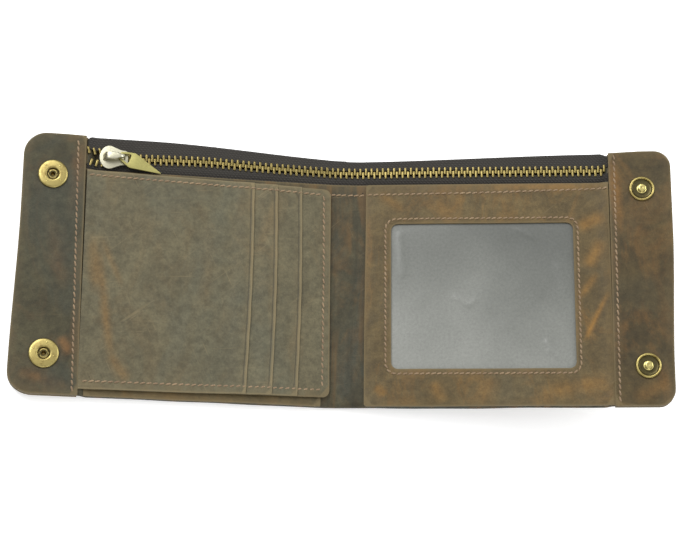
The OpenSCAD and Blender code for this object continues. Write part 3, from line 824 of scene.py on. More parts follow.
# ---------------------------------------------------------------- tabs
for side, name, r, body, m, facing in ((-1, "left", 9.5, "left_tab", M_TAB_L, "tab_facing_left"), (1, "right", 7.0, "right_tab", M_TAB_R, "tab_facing_right")):
    def tab_outline(inner, grow=0.0):
        o = rounded_rect(inner, 136.5 + grow, -55 - grow, 55 + grow, (0, r + grow, r + grow, 0))
        top = (lambda x: 1.15 + 0.25 * math.sin((x - 110) / 9.0)) if side < 0 else (lambda x: -0.5 + 0.7 * min(1, (x - 110) / 14))
        wide = (lambda y: 1.9 * float(smooth((25 - y) / 75))) if side < 0 else (lambda y: -1.7 * float(smooth((20 - y) / 60)))
        o = [(x + wide(y) * max(0, min(1, (x - 120) / 14)), y + (top(x) * min(1, max(0, (y - 30) / 20)))
              + 0.3 * math.sin(y / 17.0) * 0) for x, y in o]
        return [(side * x, y) for x, y in (o if side > 0 else reversed(o))]
    hole = [[(side * 124.1 + 1.6 * math.cos(a), yy + 1.6 * math.sin(a)) for a in np.linspace(0, 2 * math.pi, 17)[:-1]] for yy in (-38.3, 38.3)]
    # the facing's inner edge is cut a little askew
    skew = (lambda y: 0.4 * max(0, y / 55) + 0.6 * min(0, y / 55)) if side < 0 else (lambda y: 0.45 * float(smooth((y + 55) / 90)) - 0.45)
    f = slab("tab_facing_" + name + "_skin", [(x + side * skew(y) * max(0, 1 - (abs(x) - 110.5) / 3), y) for x, y in tab_outline(110.5)], 5.62, 6.8, holes=hole, cut=(3.2, 5.0), bevel=0.3, warp=False)
    dress(f, m, body=body, nodes=(facing,))
    l = slab("tab_lining_" + name + "_skin", tab_outline(111.2, -0.12), 4.62, 5.58, holes=hole, cut=(5, 8), bevel=0.15, warp=False)
    dress(l, m, body=body, nodes=("tab_lining_" + name,))
    s = slab("tab_back_" + name + "_skin", tab_outline(110.2), 0.0, 1.4, holes=hole, cut=(1.6, 6.0), bevel=0.3, warp=False,
             lift0=lambda x, y: rise_shell(x), lift1=lambda x, y: rise_shell(x))
    dress(s, M_INNER, blend=(TAB_L if side < 0 else TAB_R), nodes=("tab_shell_" + name,))

# ---------------------------------------------------------------- slip panel and card page
slip = slab("slip_panel_skin", rounded_rect(-107.6, -10.9, -54.75, 38.6, (0, 0.4, 1.5, 0)), 4.22, 5.0, cut=(3, 8), bevel=0.2,
            lift0=lambda x, y: 0.55 * smooth((-x - 104.6) / 3.0), lift1=lambda x, y: 0.15 * smooth((-x - 104.6) / 3.0))
dress(slip, M_SLIP, body="left_wing", nodes=("slip_panel_left",))


def page_shape(P):
    # the page's free edge leans a little, and its corner sags
    k = smooth((P[:, 0] + 107) / 100)
    P[:, 2] += 0.25 * k * smooth((-30 - P[:, 1]) / 20)
    return P


PY0, PY1 = -51.2, 40.8


def page_fit(x, y):
    """The page is cut slightly out of square: its top edge falls towards the fold and its bottom edge towards the tab."""
    t = min(1.0, max(0.0, (-x - 7.4) / 100.0))
    hi, lo = 0.5 * t - 1.9 * (1 - t), -1.0 * t
    k = (y - PY0) / (PY1 - PY0)
    return y + lo * (1 - k) + hi * k


page_out = [(x, page_fit(x, y)) for x, y in rounded_rect(-110.05, -7.4, PY0, PY1, (0, 2.8, 2.8, 0), step=1.5)]


def hinge_rise(x, amount):
    return amount * smooth((-x - 105.4) / 4.0)


def no_edge_by_hinge(ob):
    for v_, e_ in zip(ob.data.attributes["flat"].data, ob.data.attributes["edge"].data):
        if v_.vector[0] < -0.104:
            e_.value = max(e_.value, min(6.0, (v_.vector[1] + 0.052) * 1000, 6.0 if v_.vector[1] < 0.036 else (0.0413 - v_.vector[1]) * 1000))


FOLD_X = [-109.7 + 0.35 * i for i in range(11)]
page = slab("page_back_skin", page_out, 5.25, 5.95, cut=(4, 6), bevel=0.22, extra=page_shape, more_x=FOLD_X,
            lift0=lambda x, y: hinge_rise(x, 0.6), lift1=lambda x, y: hinge_rise(x, 0.6))
no_edge_by_hinge(page)
dress(page, M_PAGE, blend=("left_wing", "card_page", -110.2, -107.2), nodes=("page_back",))
POCKET = [(21.5, 19.9, 20.8), (32.0, 30.3, 31.4), (42.2, 40.1, 42.1)]   # free edges: middle, top, bottom


def free_edge(ub, ut, t):
    return ub + (ut - ub) * t - 0.8 * math.sin(math.pi * min(1.0, max(0.0, float(t))))


for i, (u, ut, ub) in enumerate(POCKET):
    tail = (POCKET[i + 1][0] + 3.6) if i < 2 else 110.05
    lift_amt = 0.6 if i else 0.0
    pts = []
    n = 24
    for k in range(n + 1):
        y = PY0 + (PY1 - PY0) * k / n
        pts.append((-free_edge(ub, ut, k / n) + 0.06 * math.sin(k * 1.7), y))
    out = [(-tail, PY0)] + pts + [(-tail, PY1)]
    out = [(x, page_fit(x, y)) for x, y in out]
    dense = []
    for a, b in zip(out, out[1:] + out[:1]):
        d = math.dist(a, b)
        q = max(1, int(d / 2.5))
        dense += [(a[0] + (b[0] - a[0]) * j / q, a[1] + (b[1] - a[1]) * j / q) for j in range(q)]

    def lift(x, y, u=u, ub=ub, ut=ut, amt=lift_amt):
        uu = -x - (ub + (ut - ub) * (y - PY0) / (PY1 - PY0))
        base = amt * (1 - smooth((uu - 3.6) / 5.0))
        # held down by the seam at top and bottom, lifting slightly between
        lip = 0.22 * (1 - smooth(uu / 6.0)) * np.sin(np.clip((y - PY0) / (PY1 - PY0), 0, 1) * math.pi) ** 0.5
        return base + lip

    p = slab("pocket_%d_skin" % (i + 1), dense, 5.96, 6.52, cut=(1.9, 6.0), bevel=0.2, extra=page_shape, more_x=FOLD_X if i == 2 else (),
             lift0=lambda x, y: lift(x, y) + hinge_rise(x, 0.6), lift1=lambda x, y: lift(x, y) + hinge_rise(x, 0.2))
    if i == 2:
        no_edge_by_hinge(p)
        dress(p, M_POCKET, blend=("left_wing", "card_page", -110.2, -107.2), nodes=("pocket_3",))
    else:
        dress(p, M_POCKET, body="card_page", nodes=("pocket_%d" % (i + 1),))

# ---------------------------------------------------------------- window panel and film
WX0, WX1, WY0, WY1 = 18.7, 95.0, -38.7, 24.3


def panel_low(x, y):
    return 1.22 * smooth((x - 105.6) / 3.6)


def panel_high(x, y):
    u = np.abs(x)
    return 1.10 * smooth((u - 105.6) / 3.6)


win = rounded_rect(WX0, WX1, WY0, WY1, (2.8, 2.8, 2.8, 2.8), step=2.0)
idp_out = rounded_rect(7.7, 110.2, -54.45, 41.7, (1.2, 0, 0, 1.2), step=2.0)
idp_out = [(x + (0.35 * math.sin(y / 26.0) if x < 9 else 0), y) for x, y in idp_out]


def press_window(P):
    # the panel dips slightly towards the window's cut edge
    d = np.maximum(np.maximum(WX0 - P[:, 0], P[:, 0] - WX1), np.maximum(WY0 - P[:, 1], P[:, 1] - WY1))
    P[:, 2] -= 0.10 * (1 - smooth(d / 2.2))
    return P


idp = slab("id_panel_skin", idp_out, 4.42, 5.3, holes=[win], cut=(3.4, 4.6), bevel=0.25, lift0=panel_low, lift1=panel_high, extra=press_window)
dress(idp, M_PANEL, body="right_wing", nodes=("id_panel",))


def crease(P):
    x, y = P[:, 0], P[:, 1]

    def line(x0, y0, x1, y1, width, height):
        dx, dy = x1 - x0, y1 - y0
        L = math.hypot(dx, dy)
        t = ((x - x0) * dx + (y - y0) * dy) / L
        d = ((x - x0) * -dy + (y - y0) * dx) / L
        return height * np.exp(-((d / width) ** 2)) * smooth((t + 2) / 3) * smooth((L + 2 - t) / 3)

    wave = 0.05 + 0.07 * np.sin(x / 13 + 0.5) * np.cos(y / 11) + 0.03 * np.sin(x / 5.0 + y / 7.0)
    b = 0
    b += line(45, -8, 51, -11.5, 0.9, 0.16) + line(51, -11.5, 54, -9.0, 0.8, 0.10)
    b += line(71, 22, 78, 18, 1.0, 0.12) + line(83, -27, 84.5, -31.5, 1.0, 0.20) + line(84.5, -31.5, 88.5, -34.5, 1.0, 0.16)
    b += line(60, -22, 68, -20, 1.8, 0.06) + line(88, 6, 92, -6, 1.8, 0.10) + line(22, 20, 24, 2, 1.6, 0.10)
    d = np.minimum(np.minimum(x - WX0, WX1 - x), np.minimum(y - WY0, WY1 - y))
    P[:, 2] += (wave + 1.5 * b) * smooth(d / 4.0) * (P[:, 2] > 0)
    return P


film = slab("window_film_skin", rounded_rect(15.2, 99.2, -42.2, 27.8, (1, 1, 1, 1)), 4.22, 4.38, cut=(1.1, 1.1), bevel=0, extra=crease)
dress(film, M_FILM, body="right_wing", nodes=("window_film",))

# ---------------------------------------------------------------- zipper tapes


def tape_front_profile(x):
    ax = abs(x)
    rf = float(rise_tape(x))
    yc = float(chain_y(x)) - parted(x)
    ft = float(front_top(x))
    up = [(38.0, 2.78), (ft - 1.2, 2.8), (ft - 0.2, 2.84), (ft + 0.35, 2.95), (ft + 1.0, 3.22), (ft + 1.9, 3.46)]
    up += [(ft + 1.9 + (yc - 1.35 - ft - 1.9) * t, 3.46 + 0.12 * math.sin(math.pi * t)) for t in (0.33, 0.66, 1.0)]
    low = [(y - 0.02, w - 0.42) for y, w in reversed(up)]
    return [(y, w + rf) for y, w in up + low]


def tape_back_profile(x):
    rf = float(rise_tape(x))
    yc = float(chain_y(x)) + parted(x)
    top = float(back_top(x))
    up = [(yc + 1.35 + (top - 2.2 - yc - 1.35) * t, 3.48 + 0.35 * math.sin(math.pi * min(1, t * 1.2)) * 0.6) for t in (0, 0.25, 0.5, 0.75, 1.0)]
    for k in range(1, 8):
        a = math.radians(90 - 180 * k / 8)
        up.append((top - 1.25 + 1.25 * math.cos(a), 2.55 + 0.95 * math.sin(a) if k < 8 else 1.5))
    up += [(top - 1.6, 1.52), (top - 2.6, 1.5)]
    A = np.array(up)
    d = np.gradient(A, axis=0)
    nrm = np.stack([-d[:, 1], d[:, 0]], 1)
    nrm /= np.linalg.norm(nrm, axis=1)[:, None]
    inner = A - nrm * (-0.42)
    # the inner side lies towards the pocket
    c = np.array([top - 2.2, 2.5])
    if np.mean(np.linalg.norm(inner[6:10] - c, axis=1)) > np.mean(np.linalg.norm(A[6:10] - c, axis=1)):
        inner = A + nrm * (-0.42)
    return [(y, w + rf * (1 if w > 2.4 else 0.4)) for y, w in list(map(tuple, A)) + list(map(tuple, inner[::-1]))]


def parted(x):
    u = -x
    t = min(max((u - 99.3 + 3.5) / 6, 0), 1)
    return 1.8 * t * t * (3 - 2 * t)


tx_l = frange(-110.4, -94, 0.8) + frange(-90, -12, 3.0) + frange(-10.5, 0, 0.9)
tx_r = frange(0, 10.5, 0.9) + frange(13, 110.4, 3.0)
for nm, prof in (("front", tape_front_profile), ("back", tape_back_profile)):
    o = loft("tape_%s_left_skin" % nm, tx_l, prof, True, False, warp=False, smooth_angle=70)
    dress(o, M_TAPE, blend=SPINE_L, nodes=("tape_%s_left" % nm, "tape_%s_spine" % nm))
    o = loft("tape_%s_right_skin" % nm, tx_r, prof, False, True, warp=False, smooth_angle=70)
    dress(o, M_TAPE, blend=SPINE_R, nodes=("tape_%s_right" % nm,))

# ---------------------------------------------------------------- teeth


def tooth_shape():
    """One tooth, head towards +y, its legs round the tape: profile in plan, thickness in w. Middle of the chain at y = 0."""
    plan = [(-0.30, -2.35), (0.30, -2.35), (0.44, -2.15), (0.44, -0.75), (0.52, -0.35), (0.46, 0.05), (0.52, 0.42), (0.34, 0.72),
            (-0.34, 0.72), (-0.52, 0.42), (-0.46, 0.05), (-0.52, -0.35), (-0.44, -0.75), (-0.44, -2.15)]
    bm = bmesh.new()
    top = [bm.verts.new((x, y, 1.0)) for x, y in plan]
    low = [bm.verts.new((x, y, -1.0)) for x, y in plan]
    bm.faces.new(top)
    bm.faces.new(list(reversed(low)))
    n = len(plan)
    for i in range(n):
        j = (i + 1) % n
        bm.faces.new((top[i], low[i], low[j], top[j]))
    bmesh.ops.recalc_face_normals(bm, faces=bm.faces)
    rim = [e for e in bm.edges if abs(e.verts[0].co.z - e.verts[1].co.z) < 1e-6]
    bmesh.ops.bevel(bm, geom=rim, offset=0.2, segments=2, profile=0.6, affect="EDGES")
    bm.verts.ensure_lookup_table()
    V = np.array([v.co[:] for v in bm.verts])
    F = [[v.index for v in f.verts] for f in bm.faces]
    # the head's middle is hollowed on top and the outer end slopes down
    V[:, 2] *= np.where(V[:, 1] < -1.3, 0.90, 1.0) * np.where(V[:, 1] > -0.6, 0.86, 1.0)
    bm.free()
    return V, F


TV, TF = tooth_shape()
PITCH = 2.4


def tooth_row(name, xs, side, slot_nodes, blend=None, seed=3):
    rng = random.Random(seed)
    verts, faces, flats = [], [], []
    for x in xs:
        s = parted(x)
        yc = float(chain_y(x)) - side * s
        dy = float(chain_y(x + 0.5) - chain_y(x - 0.5))
        a = math.atan(dy) + rng.uniform(-0.025, 0.025)
        if s > 0.4:
            a -= side * 0.30
        ca, sa = math.cos(a), math.sin(a)
        base = len(verts)
        rf = float(rise_tape(x))
        for v in TV:
            vx, vy = v[0], v[1] * side
            verts.append((x + vx * ca - vy * sa, yc + vx * sa + vy * ca, 3.28 + rf + v[2] * 1.02 + rng.uniform(-0.005, 0.005)))
        faces += [[base + i for i in f] for f in TF]
    ob = new_object(name, rest(verts), faces, np.array(verts), None, 40)
    dress(ob, M_TEETH, blend=blend, nodes=slot_nodes)


left_f = [-(7.6 + i * PITCH) for i in range(-3, 46) if 0 < (7.6 + i * PITCH) < 109.9]
left_b = [-(7.6 + (i + 0.5) * PITCH) for i in range(-4, 46) if 0 < (7.6 + (i + 0.5) * PITCH) < 109.9]
tooth_row("teeth_front_left_skin", left_f, 1, ("teeth_front_left", "teeth_front_spine"), SPINE_L)
tooth_row("teeth_back_left_skin", left_b, -1, ("teeth_back_left", "teeth_back_spine"), SPINE_L, 4)
rf_xs = [left_f_x for left_f_x in [(-0.4 + PITCH * k) for k in range(1, 47)] if 0 < left_f_x < 109.8]
rb_xs = [(-0.4 + PITCH * (k - 0.5)) for k in range(1, 47) if 0 < (-0.4 + PITCH * (k - 0.5)) < 109.8]
tooth_row("teeth_front_right_skin", rf_xs, 1, ("teeth_front_right",), SPINE_R, 5)
tooth_row("teeth_back_right_skin", rb_xs, -1, ("teeth_back_right",), SPINE_R, 6)

# ---------------------------------------------------------------- slider and pull
SU = 99.3            # the slider's middle, out from the middle of the spine


def catmull(points, n=5, closed=True):
    P = [np.array(p, float) for p in points]
    out = []
    m = len(P)
    for i in range(m if closed else m - 1):
        p0, p1, p2, p3 = P[(i - 1) % m], P[i], P[(i + 1) % m], P[(i + 2) % m]
        for k in range(n):
            t = k / n
            out.append(0.5 * ((2 * p1) + (-p0 + p2) * t + (2 * p0 - 5 * p1 + 4 * p2 - p3) * t * t + (-p0 + 3 * p1 - 3 * p2 + p3) * t ** 3))
    return [tuple(p) for p in out]


def plate(outline, z0, z1, holes=(), bevel=0.2, segments=3, dome=None):
    """A bevelled plate as arrays, in local coordinates."""
    bm = bmesh.new()
    edges = []
    for loop in [outline, *holes]:
        vs = [bm.verts.new((p[0], p[1], 0)) for p in loop]
        edges += [bm.edges.new((vs[i], vs[(i + 1) % len(vs)])) for i in range(len(vs))]
    bmesh.ops.triangle_fill(bm, use_beauty=True, edges=edges)
    for f in bm.faces:
        if f.normal.z < 0:
            f.normal_flip()
    ext = bmesh.ops.extrude_face_region(bm, geom=bm.faces[:])
    top = [g for g in ext["geom"] if isinstance(g, bmesh.types.BMVert)]
    for v in bm.verts:
        v.co.z = z0
    for v in top:
        v.co.z = z1
    bmesh.ops.recalc_face_normals(bm, faces=bm.faces)
    rim = [e for e in bm.edges if len(e.link_faces) == 2 and abs(e.verts[0].co.z - e.verts[1].co.z) < 1e-6
           and abs(e.link_faces[0].normal.z - e.link_faces[1].normal.z) > 0.5]
    bmesh.ops.bevel(bm, geom=rim, offset=bevel, segments=segments, profile=0.6, affect="EDGES", clamp_overlap=True)
    bm.verts.ensure_lookup_table()
    V = np.array([v.co[:] for v in bm.verts])
    F = [[v.index for v in f.verts] for f in bm.faces]
    bm.free()
    if dome:
        V = dome(V)
    return V, F


def sweep(path, half_w, half_t, n=12, power=0.45):
    """A flattened bar along a path (x, z) at y = 0: a rounded section, half_w across y and half_t thick."""
    A = np.asarray(path, float)
    T = np.gradient(A, axis=0)
    T /= np.linalg.norm(T, axis=1)[:, None]
    N = np.stack([-T[:, 1], T[:, 0]], 1)
    V, F = [], []
    for i, (p, nn) in enumerate(zip(A, N)):
        hw = half_w(i / (len(A) - 1)) if callable(half_w) else half_w
        for k in range(n):
            a = 2 * math.pi * (k + 0.5) / n
            c, s = math.cos(a), math.sin(a)
            yy = hw * math.copysign(abs(c) ** power, c)
            tt = half_t * math.copysign(abs(s) ** power, s)
            V.append((p[0] + nn[0] * tt, yy, p[1] + nn[1] * tt))
    for i in range(len(A) - 1):
        for k in range(n):
            F.append((i * n + k, i * n + (k + 1) % n, (i + 1) * n + (k + 1) % n, (i + 1) * n + k))
    F.append(tuple(range(n)))
    F.append(tuple(range((len(A) - 1) * n, len(A) * n)))
    return np.array(V), F


def join(parts):
    V, F, base = [], [], 0
    for v, f in parts:
        V.append(np.asarray(v))
        F += [[i + base for i in q] for q in f]
        base += len(v)
    return np.concatenate(V), F


def slider_space(V):
    """Slider's own coordinates (a towards the left tab, b, w) to flat."""
    V = np.asarray(V, float)
    return np.column_stack([-(SU + V[:, 0]), ZY + V[:, 1], V[:, 2]])


OUT = [(-5.85, -1.3), (-5.75, -2.4), (-5.0, -3.0), (-3.0, -3.35), (-0.8, -4.15), (1.2, -4.95), (2.8, -4.9), (4.3, -4.0), (5.4, -2.3),
       (5.85, -0.9)]
OUT = OUT + [(a, -b) for a, b in reversed(OUT)]
OUTLINE = catmull(OUT, 5)


def crown(V):
    # the plate's top swells a little along its middle
    r = np.clip(np.hypot(V[:, 0] / 6.0, V[:, 1] / 4.8), 0, 1)
    V[:, 2] += np.where(V[:, 2] > 4.9, 0.16 * (1 - r ** 2), 0)
    return V


top_plate = plate(OUTLINE, 4.4, 5.28, bevel=0.3, dome=crown)
flange = []
for s in (1, -1):
    inner = [(-5.0, 2.75), (2.0, 4.38), (5.3, 2.5)]
    fl = [(-5.6, 2.72), (-4.9, 3.1), (-3.0, 3.3), (-0.8, 4.1), (1.2, 4.9), (2.8, 4.85), (4.0, 4.2), (4.9, 3.2), (4.45, 3.1), (3.4, 4.0),
          (2.2, 4.33), (0.6, 4.05), (-2.5, 3.2), (-5.0, 2.7)]
    fl = [(a, b * s) for a, b in (fl if s > 0 else reversed(fl))]
    flange.append(plate(fl, 3.76, 4.6, bevel=0.12, segments=2))
bottom = plate(catmull([(-5.2, -2.3), (-2.5, -2.75), (1.5, -2.9), (4.4, -2.6), (5.35, -1.4), (5.35, 1.4), (4.4, 2.6), (1.5, 2.9), (-2.5, 2.75), (-5.2, 2.3)], 4),
               1.6, 2.05, bevel=0.12, segments=2)
post = plate([(3.4, -0.72), (5.25, -0.5), (5.25, 0.5), (3.4, 0.72)], 1.9, 4.6, bevel=0.1, segments=2)
V, F = join([top_plate, *flange, bottom, post])
sb = new_object("slider_body_skin", rest(slider_space(V)), F, None, None, 40)
dress(sb, M_SLIDER, body="zip_slider", nodes=("slider_body",))

bridge_path = [(-4.45, 5.15), (-4.45, 5.6), (-4.42, 6.2)] + [(-2.4 + 2.02 * math.cos(math.radians(a)), 6.2 + 2.02 * math.sin(math.radians(a))) for a in
              (165, 150, 135, 120, 105, 90)] + [(-1.4, 8.22), (0, 8.22), (1.6, 8.2), (2.5, 8.05), (3.0, 7.6), (3.4, 6.7), (3.8, 5.8), (4.1, 5.15)]
bv, bf = sweep(bridge_path, lambda t: 0.74 + 0.85 * float(smooth((t - 0.42) / 0.22)), 0.40, 14)
br = new_object("slider_bridge_skin", rest(slider_space(bv)), bf, None, None, 45)
dress(br, M_SLIDER, body="zip_slider", nodes=("slider_bridge",))

# the pull: a leaf with a round eye; the rim rings built below are not used
L = 16.5
leaf = [(2.3, 0.9), (1.9, 1.5), (1.0, 2.0), (-0.4, 2.5), (-1.8, 2.95), (-2.9, 3.3), (-3.6, 3.42), (-4.3, 3.3), (-6.0, 2.85), (-8.5, 2.2), (-11.0, 1.55), (-13.5, 0.92),
        (-15.6, 0.42), (-16.3, 0.2), (-16.5, 0.0)]
leaf = leaf + [(a, -b) for a, b in reversed(leaf[:-1])] + [(2.6, 0.0)]
leaf = catmull(leaf, 4)
eye = catmull([(1.55, 0.0), (1.35, 0.75), (0.4, 1.35), (-0.9, 1.8), (-1.9, 2.05), (-2.35, 1.75), (-2.45, 0.0), (-2.35, -1.75), (-1.9, -2.05), (-0.9, -1.8), (0.4, -1.35), (1.35, -0.75)], 3)


def hollow(V):
    # the plate is left as it is; no pressed field is made
    return V


pv, pf = plate(leaf, -0.5, 0.5, holes=[eye], bevel=0.22, dome=hollow)
inset = [(-3.2, 1.9), (-4.0, 2.3), (-5.4, 2.15), (-7.4, 1.65), (-9.8, 1.1), (-12.0, 0.7), (-13.2, 0.0)]
inset = catmull(inset + [(a, -b) for a, b in reversed(inset[:-1])], 4)
rv, rf_ = [], []
for z in (0.5, -0.5):
    n = len(inset)
    base = len(rv)
    s = 1 if z > 0 else -1
    for r, h in ((0.16, 0.0), (0.09, 0.11), (-0.09, 0.11), (-0.16, 0.0)):
        for i in range(n):
            p = np.array(inset[i])
            t = np.array(inset[(i + 1) % n]) - np.array(inset[i - 1])
            nn = np.array([-t[1], t[0]]) / (np.linalg.norm(t) + 1e-9)
            q = p + nn * r
            rv.append((q[0], q[1], z + s * (h - 0.02)))
    for k in range(3):
        for i in range(n):
            j = (i + 1) % n
            rf_.append((base + k * n + i, base + k * n + j, base + (k + 1) * n + j, base + (k + 1) * n + i))
V, F = pv, pf
c22, s22 = math.cos(math.radians(22)), math.sin(math.radians(22))
tl = math.radians(2.0)
a_ = V[:, 0] * c22 - V[:, 1] * s22
b_ = V[:, 0] * s22 + V[:, 1] * c22
w_ = V[:, 2]
# tilted down towards its tip: a rotation about the cross axis by -2 degrees
a2 = a_ * math.cos(-tl) + w_ * math.sin(-tl)
w2_ = -a_ * math.sin(-tl) + w_ * math.cos(-tl)
P = slider_space(np.column_stack([a2 - 4.4, b_, w2_ + 6.2]))
pull = new_object("pull_skin", rest(P), F, None, None, 40)
dress(pull, M_PULL, body="zip_pull", nodes=("pull",))

# ---------------------------------------------------------------- snaps
T = 6.8
SOCK = [(2.35, T), (6.1, T), (6.15, T + 0.12), (6.15, 7.2), (6.1, 7.36), (5.98, 7.52), (5.75, 7.66), (5.4, 7.75), (5.0, 7.80), (4.4, 7.84),
        (3.8, 7.87), (3.3, 7.90), (2.95, 7.90), (2.7, 7.82), (2.5, 7.62), (2.4, 7.3), (2.35, T)]
SEYE = [(1.02, 7.02), (1.3, 7.12), (1.7, 7.1), (2.0, 6.98), (2.1, 6.84), (2.5, 6.82)]
CAPP = [(0, 1.6), (1.4, 1.63), (2.6, 1.72), (3.8, 1.92), (4.8, 2.2), (5.5, 2.5), (5.95, 2.85), (6.1, 3.1), (6.1, 3.2), (5.9, 3.25), (1.5, 3.25), (1.5, 6.84)]
RIMP = [(1.5, 6.82), (2.05, 6.86), (2.1, 6.98), (1.95, 7.08), (1.6, 7.12), (1.25, 7.08), (1.02, 6.95), (1.0, 6.2), (1.0, 4.0), (0.8, 3.85), (0, 3.8)]
STUDP = [(0, 6.9), (1.9, 6.92), (2.0, 7.0), (1.5, 7.12), (1.36, 7.5), (1.38, 7.85), (1.6, 8.08), (1.78, 8.28), (1.8, 8.45), (1.68, 8.66), (1.4, 8.8), (0.9, 8.88), (0.4, 8.82), (0, 8.78)]
FLANGE = [(4.05, 6.95), (4.2, 7.3), (4.32, 7.6), (4.5, 7.77), (4.75, 7.82), (5.0, 7.78), (5.2, 7.62), (5.33, 7.4), (5.35, 7.1), (5.35, 6.85), (5.25, 6.8), (4.05, 6.8), (4.05, 6.95)]
DISH = [(0, 6.98), (1.3, 6.98), (2.2, 6.96), (3.2, 6.96), (3.9, 7.02), (4.2, 7.2), (4.3, 7.42)]
L_AT = [(-124.1, -38.3), (-124.1, 38.3)]
R_AT = [(124.1, -38.3), (124.1, 38.3)]


s1 = lathe("snap_sockets_skin", SOCK, L_AT, 96)
dress(s1, M_SNAP, body="left_tab", nodes=("snap_sockets",))
# pressed dots on the socket's face
dv, df = [], []
for (cx, cy) in L_AT:
    for k in range(4):
        a0 = math.radians((52, 133, 236, 318)[k] + (0 if cy > 0 else 25))
        px, py = cx + 4.35 * math.cos(a0), cy + 4.35 * math.sin(a0)
        base = len(dv)
        for r, h in ((0.46, 7.815), (0.40, 7.90), (0.24, 7.93)):
            for i in range(12):
                a = 2 * math.pi * i / 12
                dv.append((px + r * math.cos(a), py + r * math.sin(a), h))
        for q in range(2):
            for i in range(12):
                j = (i + 1) % 12
                df.append((base + q * 12 + i, base + q * 12 + j, base + (q + 1) * 12 + j, base + (q + 1) * 12 + i))
        df.append(tuple(base + 24 + i for i in range(12)))
dots = new_object("snap_socket_dots", rest(dv), df, None, None, 60)
dress(dots, M_SNAP, body="left_tab")
# the two spring wires seen inside a socket's throat, in the dark brass that paints shade there
wv, wf = [], []
for (cx, cy) in L_AT:
    for s in (-1, 1):
        path = [(-2.45, 7.35), (-1.2, 7.35), (0, 7.35), (1.2, 7.35), (2.45, 7.35)]
        vv, ff = sweep(path, 0.16, 0.16, 8, 1.0)
        vv = np.column_stack([cx + vv[:, 1] + s * 1.72, cy + vv[:, 0] * 0.72, vv[:, 2]])
        base = len(wv)
        wv += list(map(tuple, vv))
        wf += [[i + base for i in q] for q in ff]
wires = new_object("snap_socket_springs", rest(wv), wf, None, None, 60)
dress(wires, M_SNAP_SHADE, body="left_tab")
# the socket's floor in the dark brass: painted shade in the throat
s2 = lathe("snap_socket_floor", SEYE, L_AT, 48)
dress(s2, M_SNAP_SHADE, body="left_tab")
s3 = lathe("snap_caps_skin", CAPP, L_AT, 72)
dress(s3, M_SNAP, body="left_tab", nodes=("snap_caps",))
s4 = lathe("snap_cap_rims", RIMP, L_AT, 48)
dress(s4, M_SNAP, body="left_tab")
s5 = lathe("snap_studs_skin", FLANGE, R_AT, 96)
dress(s5, M_SNAP, body="right_tab", nodes=("snap_studs",))
# the stud's dish in the dark brass, painted shade in its recess; the ball in a brighter brass, a painted highlight
s8 = lathe("snap_stud_dish", DISH, R_AT, 72)
dress(s8, M_SNAP_SHADE, body="right_tab")
s6 = lathe("snap_stud_balls", STUDP, R_AT, 48, 75)
dress(s6, M_BALL_HIGHLIGHT, body="right_tab")
s7 = lathe("snap_rivets_skin", CAPP[:-2] + [(0, 3.25)], R_AT, 72)
dress(s7, M_SNAP, body="right_tab", nodes=("snap_rivets",))

# ---------------------------------------------------------------- stitching


def straight(p, q, n=24):
    return [tuple(np.array(p) + (np.array(q) - np.array(p)) * i / n) for i in range(n + 1)]


def put(name, paths, body, seed, **kw):
    ob = stitches(name, paths, seed=seed, **kw)
    dress(ob, M_THREAD, body=body)
    return ob


put("stitch_tab_left", [straight((-112.2, -53.8, 6.8), (-114.3, 54.0, 6.8), 40)], "left_tab", 11)
put("stitch_tab_right", [straight((112.1, -53.6, 6.8), (112.9, 53.8, 6.8), 40)], "right_tab", 12)


def page_top(x, y):
    """Height of the page's visible face."""
    best = 5.95
    for i, (u, ut, ub) in enumerate(POCKET):
        uu = -x - (ub + (ut - ub) * (y - PY0) / (PY1 - PY0))
        tail = (POCKET[i + 1][0] + 3.6) if i < 2 else 110.1
        if uu >= 0 and -x <= tail:
            a = 0.6 if i else 0.0
            best = max(best, 6.52 + a * (1 - float(smooth((uu - 3.6) / 5.0))))
    return best + 0.2 * float(smooth((-x - 105.4) / 4.0))


def page_path(pts):
    out = []
    for (x0, y0), (x1, y1) in zip(pts, pts[1:]):
        n = max(2, int(math.dist((x0, y0), (x1, y1)) / 0.7))
        for i in range(n):
            x, y = x0 + (x1 - x0) * i / n, y0 + (y1 - y0) * i / n
            out.append((x, y, page_top(x, y)))
    return out


top_line = page_path([(-109.3, 39.2), (-104, 39.0), (-10.8, 36.5)])
right_line = page_path([(-10.5, 36.2), (-10.2, 0), (-10.5, -47.6)])
bottom_line = page_path([(-10.8, -48.1), (-109.3, -49.0)])
put("stitch_page", [top_line, right_line, bottom_line], "card_page", 13)
spine_line = [(x, float(front_top(x)) - 4.7, 4.22) for x in frange(-9.6, 7.4, 0.6)]
for nm, bl, part in (("left", SPINE_L, [q for q in spine_line if q[0] < 0.1]), ("right", SPINE_R, [q for q in spine_line if q[0] > -0.1])):
    sp = stitches("stitch_spine_" + nm, [part], seed=15)
    dress(sp, M_THREAD, blend=bl)
idl = [(x, 37.2 + 0.2 * math.sin(x / 17.0) + 1.9 * float(smooth((x - 20) / 95)), 5.3 + 1.10 * float(smooth((x - 105.6) / 3.6))) for x in frange(8.3, 110.0, 0.8)]
put("stitch_panel_top", [idl], "right_wing", 16)
wl_ = rounded_rect(WX0 - 2.4, WX1 + 1.9, WY0 - 2.1, WY1 + 2.1, (4.4, 4.4, 4.4, 4.4), step=1.0)
put("stitch_window", [[(x, y, 5.28) for x, y in wl_ + wl_[:1]]], "right_wing", 17, pitch=2.35, length=2.1)
